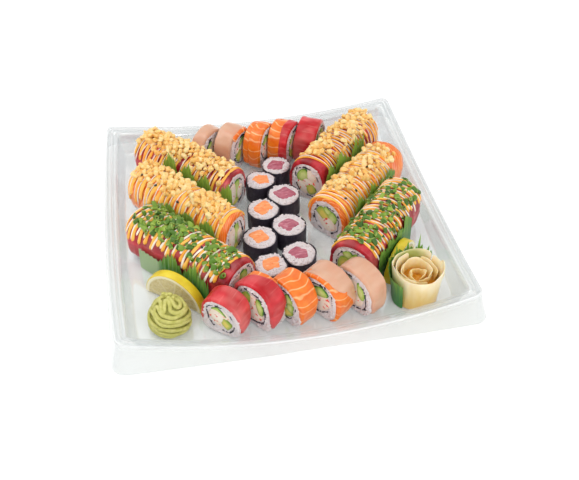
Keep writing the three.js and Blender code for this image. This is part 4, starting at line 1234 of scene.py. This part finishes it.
def long_roll(number, name, x, y, way, width, height, length, turned, fish, topping):
    """A long roll: its body, its stripes of sauce in two colours, and its topping."""
    roll = {
        "width": width, "height": height, "length": length, "domed": True,
        "slant": math.tan(math.radians(turned)), "tilt": 0.5 - number % 3 * 0.5,
    }
    seed = 100 + 10 * number
    low, high = LONG_LOW, LONG_HIGH
    far = length - DOME_START + 0.985 * DOME_ARC
    # the long rolls' tuna is darker, partly its own colour and partly painted shade
    flesh = "dark_tuna" if fish == "tuna" else fish
    body = [
        fish_strip(roll, -0.2, far, low, high, seed, flesh, rows=110, cols=64, steps=OVERLAP),
        rice_body(roll, low, high),
        face_grains(roll, CUT, -1, FACE_GRAINS, seed, low, high),
        flank_grains(roll, FLANK_GRAINS, low, high, seed + 1),
        seaweed_ring(roll, seed),
        *filling(roll, LONG_FILLINGS[number], seed),
    ]
    make(name + "_body", placed(body, x, y, way), fish, name)
    pitch, wide, thin, start, stop, lean, first, last, shorter = SAUCES[name]
    lines = np.arange(start, length + stop, pitch)
    lines = lines + seeded(seed, 1).normal(0, 0.5, len(lines))
    between = lines + 0.43 * pitch
    sauce = [
        stripes(roll, lines, wide, 1.1, first, last, shorter, lean, seed + 2, "orange_sauce", 0.35),
        stripes(roll, between, thin, 0.9, first - 4, last + 4, shorter, lean, seed + 3, "white_sauce", 0.55),
    ]
    slot = topping + "_dressing"
    make(name + "_sauce", placed(sauce, x, y, way), slot, name)
    kind = crunch if topping == "crunch" else scallions
    bits = kind(roll, TOPPINGS[name], seed + 4)
    if name in SEEDS:
        bits.append(seeds(roll, SEEDS[name], seed))
    make(name + "_" + topping, placed(bits, x, y, way), slot, name)


def slice_of_roll(number, name, x, y, way, width, height, length, strips):
    """A slice with its strips of fish, and rice, seaweed and filling showing on both faces."""
    roll = {
        "width": width, "height": height, "length": length, "domed": False,
        "slant": 0.0, "tilt": 0.8 - number % 4 * 0.5,
    }
    seed = 300 + 10 * number
    low, high = min(s[3] for s in strips), max(s[4] for s in strips)
    body = [rice_body(roll, low, high), seaweed_ring(roll, seed)]
    body += filling(roll, SLICE_FILLINGS[number], seed)
    for k, (fish, start, end, a, b, *taper) in enumerate(strips):
        start, end = start * length, end * length
        body.append(fish_strip(roll, start, end, a, b, seed + k, fish, STRIP_RISE * k, tuple(taper)))
    body += [
        tail_grains(roll, TAIL_GRAINS, high, seed + 3),
        face_grains(roll, CUT, -1, FACE_GRAINS, seed, low, high),
        face_grains(roll, length - CUT, 1, FACE_GRAINS, seed + 1, low, high),
        flank_grains(roll, 40, low, high, seed + 2),
    ]
    for skin in body:
        skin.points[:, 0] -= length / 2
    slot = {"white": "white_fish", "red_tuna": "tuna"}.get(strips[-1][0], strips[-1][0])
    make(name + "_layers", placed(body, x, y, way), slot, name)


for number, row in enumerate(LONG_ROLLS):
    long_roll(number, *row)
for number, row in enumerate(SLICES):
    slice_of_roll(number, *row)


# ---------------------------------------------------------------- small rolls

SMALL_ROLL_ANGLES = np.linspace(0, TAU, 90, endpoint=False)[None]
SMALL_ROLL_GRAINS = 112  # grains of rice on each face


def pressed_round(name, x, y, radius, stretch, degrees, angle):
    """How far a small roll reaches at an angle: r (1 + 0.02 sin 3a + (stretch - 1) cos 2a), and where
    the others press on it no farther than the flat between them, flat / cos(a - way), both blended
    as -ln(sum of exp(-2 reach)) / 2."""
    round_wall = radius * (1 + 0.02 * np.sin(3 * angle + radius) + (stretch - 1) * np.cos(2 * angle))
    total = np.exp(-2 * round_wall)
    for other, other_x, other_y, other_radius, *_ in SMALL_ROLLS:
        apart = math.hypot(other_x - x, other_y - y)
        if other != name and apart < 40:
            way = math.atan2(other_y - y, other_x - x) - math.radians(degrees)
            flat = apart * radius / (radius + other_radius) - 0.25
            total = total + np.exp(-2 * flat / np.clip(np.cos(angle - way), 0.2, 1))
    return -np.log(total) / 2


def small_roll_wall(reach, radius, seed):
    """The seaweed of a small roll: a thin ring with creases, wavy at its upper edge, that laps over
    itself at one place."""
    a = SMALL_ROLL_ANGLES
    z = np.array([0.0, 0.5, 2.5, 5, 7.5, 10, 12.5, 15, 17.2, 18.4, 18.9])[:, None]
    where = round_points(radius, a, z)
    crease = 0.3 * wobble(where * [1, 1, 0.35], 7, seed) + 0.12 * wobble(where, 2.6, seed + 1)
    past_lap = (a - seeded(seed, 83).uniform(0, TAU)) % TAU
    lap = 0.45 * smooth_step(past_lap, 0, 0.03) * (1 - past_lap / TAU)
    wall = reach + crease * smooth_step(SMALL_ROLL_HEIGHT - z, 0, 3) - 0.45 + lap
    height = z + 0.3 * np.sin(2 * a + seed) * smooth_step(z, 15, 19)
    outer, inner = (round_points(r, a, height) for r in (wall, wall - 0.6))
    rings = np.concatenate([outer, inner[::-1]]).transpose(1, 0, 2)
    return hoops(rings[None], "seaweed", np.array([0.5]))


def small_roll(name, x, y, radius, stretch, degrees, fish, seed):
    """A seaweed roll on end: a wall, round but for where it is pressed, rice inside it heaped a
    little over both edges, and a bar of fish through the middle, cut uneven."""
    random = seeded(seed, 81)
    top = SMALL_ROLL_HEIGHT
    a = SMALL_ROLL_ANGLES
    reach = pressed_round(name, x, y, radius, stretch, degrees, a)
    share = np.array([0.3, 0.7, 0.9, 0.97, 0.99, 0.99, 0.975, 0.94, 0.86, 0.7, 0.5, 0.3])[:, None]
    over_top = top + np.array([-2.4, -1.3, -0.5, 0, 0.3, 0.35, 0.35])
    level = np.array([0.5, 0.4, 0.4, 0.7, 1.5, *over_top])[:, None]
    rice = round_points((reach - 0.95) * share, a, level)
    rice[6:, :, 2] += 0.35 * wobble(rice[6:], 3.2, seed + 2)
    skins = [small_roll_wall(reach, radius, seed), loft(rice, "rice")]
    loop = np.linspace(0, TAU, 36, endpoint=False)
    nook, size = random.uniform(0, TAU), radius * random.uniform(0.55, 0.63)
    corners = random.integers(4, 6)
    flat = size * np.minimum(1.0, 0.8 / np.cos((loop - nook) % (TAU / corners) - TAU / corners / 2))
    uneven = 0.1 * np.sin(loop + nook) + 0.1 * np.sin(2 * loop + 2 * nook) + 0.04 * np.sin(5 * loop)
    flat = flat * (1.04 + uneven)
    n = SMALL_ROLL_GRAINS
    for level, way in ((top + 0.15, 1), (0.75, -1)):
        angle = (np.arange(n) * GOLDEN * TAU + random.normal(0, 0.15, n)) % TAU
        inner = (np.interp(angle, loop, flat, period=TAU) + 0.8) / radius
        spread = np.sqrt(inner**2 + (0.85**2 - inner**2) * random.uniform(0, 1, n))
        sunk = 1.3 * np.clip(spread - 0.55, 0, 1) ** 1.5 * 2.2
        height = level + way * (0.25 - sunk + random.uniform(-0.75, -0.1, n))
        grains = round_points(spread * np.interp(angle, a[0], reach[0], period=TAU), angle, height)
        axes = [same(v, n) for v in ([1, 0, 0], [0, 1, 0], [0, 0, way])]
        skins.append(rice_grains(grains, axes, seed + (way > 0), 0.95))
    share = np.array([0.3, 0.75, 0.95, 1, 1, 0.96, 0.8, 0.5, 0.2])[:, None]
    over_top = top + np.array([0.2, 0.75, 0.95, 1.0, 1.0])
    level = np.array([0.05, 0.0, 0.05, 0.5, *over_top])[:, None]
    bar = round_points(flat * share, loop, level)
    bar[4:, :, 2] += 0.25 * np.sin(2 * loop + nook)
    skins.append(loft(bar, "maki_" + fish, together(share * 6, np.linspace(0, 30, 37)[None])))
    return skins


for number, (name, x, y, radius, stretch, degrees, fish) in enumerate(SMALL_ROLLS):
    skins = small_roll(name, x, y, radius, stretch, degrees, fish, 500 + 10 * number)
    make(name + "_layers", placed(skins, x, y, degrees), "seaweed", name)


# ---------------------------------------------------------------- grass and lemon

# The blades of a tuft: how far each tip is from the tallest, and its height and that of the cut
# before it, as shares of the tuft's.
TUFT = [(-4.8, 0.45, 0.0), (-2.4, 0.76, 0.38), (0.0, 1.0, 0.62), (2.7, 0.88, 0.64), (5.4, 0.76, 0.54),
        (8.1, 0.62, 0.42),
        (10.8, 0.45, 0.28), (13.6, 0.26, 0.1)]
FAN = [(-12.0, 0.32, 0.0), (-9.4, 0.5, 0.24), (-6.8, 0.67, 0.4), (-4.4, 0.8, 0.54),
       (-2.2, 0.92, 0.64)] + TUFT[2:]
SPIKE = [(-1.9, 0.3, 0.0), (0.0, 1.0, 0.12), (2.0, 0.42, 0.2)]


def grass_leaf(place, facing, length, low, flat, tufts, blades, seed):
    """A leaf of cut film: a slab from its foot to an upper edge of pointed blades, whose cuts go
    deep. place(at, z) is the middle of the sheet and facing(at) its normal."""
    random = seeded(seed, 91)
    marks = [(0.0, low), (length, low)]
    for middle, tip in tufts:
        scale = random.uniform(0.9, 1.1)
        for offset, share, cut in blades:
            at = middle + scale * offset
            before = at - scale * 1.35
            for where, part in ((at, share), (before, cut)):
                if 0.3 < where < length - 0.3:
                    part *= 1 + random.normal(0, 0.02) * (part < 1)
                    marks.append((where, low + (tip - low) * part))
    if flat:
        marks = [m for m in marks if m[0] < flat[0]]
        marks += [(flat[0], low), (flat[0] + 2, flat[1]), (length, flat[2])]
    marks = np.array(sorted(marks))
    fine = np.unique(np.concatenate([marks[:, 0], np.arange(0, length, 0.8)]))
    height = np.interp(fine, marks[:, 0], marks[:, 1])
    share = np.array([0, 0.25, 0.45, 0.62, 0.76, 0.86, 0.93, 0.97, 1.0])[None]
    z = height[:, None] * share
    at = fine[:, None] + 0 * z
    middle, out = place(at, z), facing(at)
    out_lean = 0.55 * np.sin(1.35 * at + seed) * smooth_step(z, 0.6 * low, 1.3 * low)
    middle = middle + out * out_lean[..., None]
    half = LEAF_THICK / 2 * (1 - 0.75 * share**6)[..., None]
    skin = slab(middle + out * half, middle - out * half, "grass", np.stack([at, z], -1))
    # the flat end's pale share, film and painted sheen, set per leaf by how lit it is
    milky = flat[3] * smooth_step(at, flat[0] - 4, flat[0] + 3) if flat else 0 * at
    skin.shade[:] = np.tile(milky.ravel(), 2)
    return skin


def straight_leaf(number, name, start, end, lean, low, flat, tufts):
    """A leaf that stands on a straight foot, waving a little, its tips leaning as z^2."""
    dx, dy = end[0] - start[0], end[1] - start[1]
    tallest = max(tip for _, tip in tufts)

    def place(at, z):
        return np.stack([at, 0.3 * np.sin(at / 9) + lean * (z / tallest) ** 2, z], -1)

    def facing(at):
        return together(0, 1, 0 * at)

    blades = FAN if name == "grass_left_front" else TUFT
    leaf = grass_leaf(place, facing, math.hypot(dx, dy), low, flat, tufts, blades, 600 + number)
    make(name + "_film", placed([leaf], *start, math.degrees(math.atan2(dy, dx))), "plastic_grass", name)


for number, row in enumerate(LEAVES):
    straight_leaf(number, *row)


def ginger_leaf():
    """The leaf curled round the ginger, its sheet at radius foot + 1.2 + 5.6 (z / height)^1.5, and
    up to 1.6 more towards its front end."""
    start, end, low, tufts = GINGER_LEAF
    radius, tall = GINGER_FOOT + 1.2, GINGER_HEIGHT
    length = math.radians(start - end) * radius

    def degrees(at):
        return start + (end - start) * at / length

    def facing(at):
        return round_points(1, np.radians(degrees(at)), 0)

    def place(at, z):
        r = radius + 5.6 * (z / tall) ** 1.5 + 1.6 * smooth_step(degrees(at), 172, 208)
        return round_points(r, np.radians(degrees(at)), z)

    return grass_leaf(place, facing, length, low, None, tufts, SPIKE, 620)


make("grass_ginger_film", placed([ginger_leaf()], *GINGER_PLACE), "plastic_grass", "grass_ginger")


def lemon_slice(radius, seed):
    """Half a lemon slice on its cut chord: a profile from the middle out over the worn edge and the
    rind and back on the other face, carried round half a turn. The flesh sinks between its skins."""
    rows, segments = 90, 8
    turn = np.linspace(0, math.pi, rows)[:, None]
    r = np.concatenate([np.linspace(0.0, 0.94, 24), [0.965, 0.985, 0.996, 1.0]])
    half = np.concatenate([np.ones(24), [0.985, 0.95, 0.88, 0.78]])
    r, half = np.concatenate([r, r[::-1]])[None], np.concatenate([half, -half[::-1]])[None]
    segment = turn / math.pi * segments / 2 + 0.25
    seam = np.abs((segment % 1) - 0.5) * 2
    sunk = smooth_step((1 - seam) * r, 0.02, 0.12) * smooth_step(0.87 - r, 0, 0.03)
    sunk = sunk * smooth_step(r, 0.06, 0.14)
    where = round_points(radius * r, turn, half * 3)
    bumps = 0.25 * wobble(where, 2.6, seed) * sunk
    thick = half * LEMON_THICK / 2 - np.sign(half) * (0.45 * sunk - bumps)
    out = radius * r * (1 + 0.006 * np.sin(5 * turn + seed))
    points = together(out * np.cos(turn), thick, out * np.sin(turn))
    uv = together(r, segment)
    uv = np.concatenate([uv, uv[:, :1]], 1)
    return loft(points, "lemon", uv)


for number, (name, x, y, degrees, radius) in enumerate(LEMONS):
    make(name + "_slice", placed([lemon_slice(radius, number)], x, y, degrees), "lemon", name)


# ---------------------------------------------------------------- wasabi and ginger

# Strands of the wasabi as they lie, each through (degrees round from its front, percent of the way
# up the dome).
STRANDS = [
    [(-84, 58), (-96, 66), (-106, 76), (-100, 85), (-66, 87), (-46, 80), (-33, 73), (-22, 74), (-22, 84),
     (-24, 94), (8, 97),
     (26, 93), (17, 84), (10, 76), (16, 71), (27, 67), (42, 64), (59, 61), (80, 59), (100, 62), (124, 70)],
    [(110, 50), (84, 54), (62, 57), (43, 59), (24, 59), (8, 60), (-12, 64), (-32, 67), (-50, 73), (-68, 76),
     (-78, 71), (-68, 64),
     (-51, 60), (-32, 56), (-12, 54), (5, 52), (27, 49), (50, 45), (78, 38), (108, 36)],
    [(96, 27), (68, 31), (44, 38), (22, 42), (2, 44), (-16, 45), (-30, 47), (-43, 51), (-56, 57), (-72, 59),
     (-92, 55), (-100, 47),
     (-92, 39), (-78, 37), (-60, 37), (-40, 36), (-20, 34), (2, 32), (22, 28), (44, 22), (70, 18), (100, 18)],
    [(-112, 30), (-90, 29), (-66, 29), (-44, 27), (-22, 23), (0, 20), (20, 16), (46, 11), (76, 9), (110, 10)],
    [(-140, 14), (-110, 17), (-80, 19), (-52, 17), (-28, 12), (-4, 8), (20, 5), (50, 3), (84, 2)],
    [(152, 92), (110, 96), (80, 93), (56, 87), (45, 79), (54, 73), (70, 71), (90, 73), (102, 80), (116, 84),
     (136, 78)],
    [(128, 20), (160, 24), (190, 26), (220, 25), (248, 24)],
    [(128, 36), (160, 40), (190, 41), (220, 40), (252, 42)],
    [(122, 52), (156, 56), (190, 57), (222, 56), (254, 60)],
    [(100, 3), (140, 5), (180, 7), (220, 6), (262, 4)],
    [(138, 64), (160, 84), (172, 84), (184, 66), (198, 66), (210, 84), (222, 84), (234, 66)],
]
# Its upright ends: degrees round, percent up the dome, height over it.
TIPS = [(-150, 88, 4.2), (140, 90, 3.4), (96, 88, 2.6), (-110, 84, 2.2), (180, 93, 3.0)]


def smooth_path(points, steps):
    """A path through points: p = ((2b) + (c - a) t + (2a - 5b + 4c - d) t^2 + (3b - 3c + d - a) t^3) / 2
    between b and c, a and d being their neighbours."""
    ends = np.concatenate([points[:1], points, points[-1:]])
    a, b, c, d = (ends[i : len(ends) - 3 + i, None] for i in range(4))
    t = np.linspace(0, 1, steps, endpoint=False)[None, :, None]
    path = ((2 * b) + (c - a) * t + (2 * a - 5 * b + 4 * c - d) * t**2 + (3 * b - 3 * c + d - a) * t**3) / 2
    return np.concatenate([path.reshape(-1, points.shape[1]), points[-1:]])


def wasabi_dome(radius, height, degrees, share):
    """Points on the dome under the strands: height and half width are read from a profile along
    its way up, share 0 to 1, and the half width is turned round by degrees from the front."""
    way = np.arange(11) / 10
    high = np.array([0, 2.2, 5.9, 9.9, 13.9, 17.6, 21.3, 24.3, 26.9, 29, 30])
    high = np.interp(share, way, high * height / WASABI[3])
    wide = np.array([13.4, 16.4, 17.7, 17.6, 17.0, 15.6, 13.5, 10.8, 7.8, 4.6, 0.6])
    wide = np.interp(share, way, wide * radius / WASABI[2])
    turn = np.radians(np.asarray(degrees) - 90)
    lean = smooth_step(share, 0.6, 1)
    return np.stack([wide * np.cos(turn) - lean, wide * np.sin(turn) + 1.4 * lean, high], -1)


def wasabi_strand(path, thick):
    """A round strand along a path: section = thick (cos side + 0.9 sin out), where out points away
    from the middle of the dome, and both ends are drawn to a point."""
    way = np.gradient(path, axis=0)
    way /= np.linalg.norm(way, axis=1, keepdims=True)
    out = path * [1, 1, 0.8] - [0, 0, 8]
    out -= (out * way).sum(1, keepdims=True) * way
    out /= np.linalg.norm(out, axis=1, keepdims=True)
    side = np.cross(way, out)
    s = np.linspace(0, 1, len(path))[:, None, None]
    around = np.linspace(0, TAU, 12, endpoint=False)[None, :, None]
    body = thick * (np.clip(np.minimum(s, 1 - s) / 0.06, 0.02, 1) ** 0.6)
    rings = path[:, None] + body * (np.cos(around) * side[:, None] + 0.9 * np.sin(around) * out[:, None])
    rings += 0.12 * wobble(rings, 2.5, 5)[..., None]
    return loft(rings, "wasabi", shade=np.ones(1))


def piped_rosette(radius, height):
    """Paste from a nozzle: strands laid back and forth over a dome, sagging at the front and rising
    in loops at the top, with a few upright ends; the dome between them is lower by half a strand."""
    share = np.linspace(0, 1, 60)[:, None]
    around = np.linspace(0, 360, 120, endpoint=False)[None]
    share, around = np.broadcast_arrays(share, around)
    core = wasabi_dome(radius - 2.2, height - 2, around, share)
    core = core + 0.25 * wobble(core, 3, 6)[..., None]
    core[..., 2] = np.clip(core[..., 2], 0, None)
    # the core's shade of 0 gets the painted shade between the strands
    skins = [loft(core, "wasabi", shade=np.zeros(1))]
    for strand in STRANDS:
        degrees, percent = np.array(strand, float).T
        path = smooth_path(wasabi_dome(radius - 0.6, height - 1, degrees, percent / 100), 9)
        path[:, 2] = np.clip(path[:, 2], 1.7, height - 1.7)
        skins.append(wasabi_strand(path, 1.75))
    for degrees, percent, up in TIPS:
        foot = wasabi_dome(radius - 0.6, height - 1, degrees, percent / 100)
        path = np.linspace(foot - [0, 0, 2], foot + [0.6, 0.8, up], 9)
        path[:, 2] = np.clip(path[:, 2], 0, height)
        skins.append(wasabi_strand(path, 1.7))
    return skins


x, y, radius, height = WASABI
make("wasabi_rosette", placed(piped_rosette(radius, height), x, y), "wasabi", "wasabi")


def ginger_petal(
    start, end, near, far, root, lip, seed, flare=0.0, green=0.0, thick=1.9, middle=(0, 0), dip=1.0
):
    """One slice of ginger standing on edge: a slab round a middle from one angle to another, its
    radius going from near to far, from root height to a lip that waves and leans out by flare."""
    cols, rows = 84, 16
    q, s = np.linspace(0, 1, cols)[:, None], np.linspace(0, 1, rows)[None]
    angle = np.radians(start + (end - start) * q)
    random = seeded(seed, 95)
    wave = 0.9 * np.sin(2.3 * angle + random.uniform(0, TAU))
    wave = wave + 0.45 * np.sin(5 * angle + random.uniform(0, TAU))
    to_end = np.minimum(q, 1 - q)
    corner = 2.5 * (1 - rounded_edge(to_end, 0.07))
    z = root + (lip + dip * wave - corner - root) * s
    widen = 0.155 * (np.maximum(z, 0) / GINGER_HEIGHT) ** 1.2
    radius = (near + (far - near) * q) * (1 + widen) + flare * s**3
    radius = radius + 0.55 * np.sin(3 * angle + seed) * s**2 + 0.2 * np.sin(9 * angle + seed) * s**3
    half = thick / 2 * (1 - 0.62 * s**4) * rounded_edge(to_end, 0.03, 0.02)
    half = half * np.sqrt(np.clip((1.02 - s) / 0.08, 0, 1))
    sheets = [round_points(radius + side * half, angle, z) for side in (1, -1)]
    for sheet in sheets:
        sheet[..., :2] += together(middle[0] * s, middle[1] * s)
    # painted shade: low places and inner petals sit deep in the amber; the outer wall petal starts higher on
    # the ramp and stays light
    ripe = z / GINGER_HEIGHT - 0.14 if root else 0.4 + 0.42 * z / GINGER_HEIGHT
    uv = together(q * radius.max() * math.radians(abs(end - start)), ripe)
    skin = slab(*sheets, "ginger", uv)
    greenish = green * np.exp(-((q - 0.45) / 0.32) ** 2) * smooth_step(1.3 - s, 0.1, 0.5)
    skin.shade[:] = np.tile(greenish.ravel(), 2)
    return skin


def ginger_rose():
    """The rose: petals from the heart outwards, each started a little further round, over a solid
    heart of slices pressed together."""
    foot, tall = GINGER_FOOT, GINGER_HEIGHT
    a = np.linspace(0, TAU, 60, endpoint=False)[None]
    z = np.array([0.0, 0.3, 6, 12, 17, 19.4, 20.4, 20.8])[:, None]
    share = np.array([0.86, 0.92, 0.96, 0.98, 0.98, 0.9, 0.6, 0.25])[:, None]
    heart = round_points(foot * share, a, z + 0.5 * np.sin(4 * a) * (z > 18))
    # the heart sits low on the ramp, in the painted amber shade of the folds
    uv = together(np.linspace(0, 100, 61)[None], np.linspace(-0.5, 0.15, 8)[:, None])
    none = np.zeros(1)
    bud = loft(heart[3:] * [0.3, 0.3, 1] + [1, -2, 1.0], "ginger", uv[3:], none)
    petal = ginger_petal
    return [
        loft(heart, "ginger", uv, none),
        bud,
        petal(-95, 185, 3.6, 6.4, 17, tall - 6.2, 1, middle=(1.2, -3.0)),
        petal(140, 345, 6.4, 9.0, 17, tall - 6.4, 2, middle=(1.0, -2.6)),
        petal(-48, 170, 8.6, 11.6, 17, tall - 2.6, 3, 0.6, middle=(0.4, -1.6)),
        petal(120, 286, 11.0, 13.6, 16, tall - 3.6, 4, 0.3, middle=(-0.2, -1.0)),
        petal(-24, 64, 13.6, 12.6, 16, tall - 4.4, 9, 1.2),
        petal(100, 250, 14.4, 16.2, 14, tall - 0.9, 5, 0.3),
        petal(36, 172, 16.4, 17.8, 12, tall + 0.4, 6, 0.3, 1.0, dip=0.6),
        petal(146, 372, 17.9, 18.9, 0, tall + 0.0, 7, 0.5, 0.0, 2.2, dip=1.1),
        petal(-36, 34, 17.4, 15.6, 12, tall - 1.8, 8, 2.6),
    ]


make("ginger_rose", placed(ginger_rose(), *GINGER_PLACE), "pickled_ginger", "ginger")


# ---------------------------------------------------------------- the studio

def board_shader(tree):
    """White board, matt: nearly even, and a little bright of itself, as a studio sweep looks."""
    base = ramp(tree, object_noise(tree, 300, 2), [(0.3, "#F7F7F6"), (0.7, "#FBFBFA")])
    board = add(tree, "BsdfDiffuse", {"Color": base}).outputs[0]
    bright = add(tree, "Emission", {"Color": base, "Strength": 0.14}).outputs[0]
    return add(tree, "AddShader", {0: board, 1: bright}).outputs[0]


def stage_floor(reach, depth):
    """A square board under everything, reach metres to each side and depth metres down."""
    mesh = bpy.data.meshes.new("floor")
    corners = [(-reach, -reach, 0), (reach, -reach, 0), (reach, reach, 0), (-reach, reach, 0)]
    mesh.from_pydata(corners, [], [(0, 1, 2, 3)])
    mesh.materials.append(new_finish("pale_matt_board", board_shader))
    floor = bpy.data.objects.new("floor", mesh)
    floor.location.z = -depth
    bpy.context.scene.collection.objects.link(floor)


def softbox(name, place, size, power):
    """A white square area lamp at a place in metres that looks at the tray."""
    lamp = bpy.data.lights.new(name, "AREA")
    lamp.shape, lamp.size, lamp.energy = "SQUARE", size, power
    box = bpy.data.objects.new(name, lamp)
    box.location = place
    away = -np.array(place) / np.linalg.norm(place)
    box.rotation_euler = (math.acos(-away[2]), 0, math.atan2(away[1], away[0]) - QUARTER)
    bpy.context.scene.collection.objects.link(box)


def studio_camera(azimuth, elevation, distance, target, focal, frame_width):
    """The camera: turned by azimuth from straight in front, above by elevation, distance in
    millimetres from the target, with a focal length in pixels of a frame_width wide picture."""
    a, e = math.radians(azimuth), math.radians(elevation)
    back = np.array([math.sin(a) * math.cos(e), -math.cos(a) * math.cos(e), math.sin(e)])
    data = bpy.data.cameras.new("camera")
    data.sensor_fit, data.sensor_width, data.lens = "HORIZONTAL", 36, focal / frame_width * 36
    data.clip_start, data.clip_end = 0.05, 20
    camera = bpy.data.objects.new("camera", data)
    camera.location = (np.array(target) + back * distance) / 1000
    camera.rotation_euler = (QUARTER - e, 0, a)
    bpy.context.scene.collection.objects.link(camera)
    bpy.context.scene.camera = camera


def studio_world(ambient, seen):
    """Even white light from all round; the camera and mirror-like surfaces see it as plain white."""
    world = bpy.data.worlds.new("studio")
    world.use_nodes = True
    tree = world.node_tree
    tree.nodes.clear()
    path = add(tree, "LightPath").outputs
    eye = maths(tree, "MAXIMUM", path["Is Camera Ray"], path["Is Glossy Ray"])
    strength = remapped(tree, eye, 0, 1, ambient, seen)
    light = add(tree, "Background", {"Color": linear("#FFFFFF"), "Strength": strength}).outputs[0]
    add(tree, "OutputWorld", {"Surface": light})
    bpy.context.scene.world = world


stage_floor(4, 0.0004)
softbox("key", (-0.7, 0.35, 1.1), 0.9, 4.5)
softbox("front", (0.5, -1.2, 0.9), 0.8, 5.5)
studio_world(0.9, 1.0)
studio_camera(-10.63, 42.68, 752.79, target=(9.92, -25.7, 0), focal=812.24, frame_width=579)
scene = bpy.context.scene
scene.view_settings.view_transform = "Standard"
scene.cycles.transparent_max_bounces = 32

bpy.context.view_layer.update()
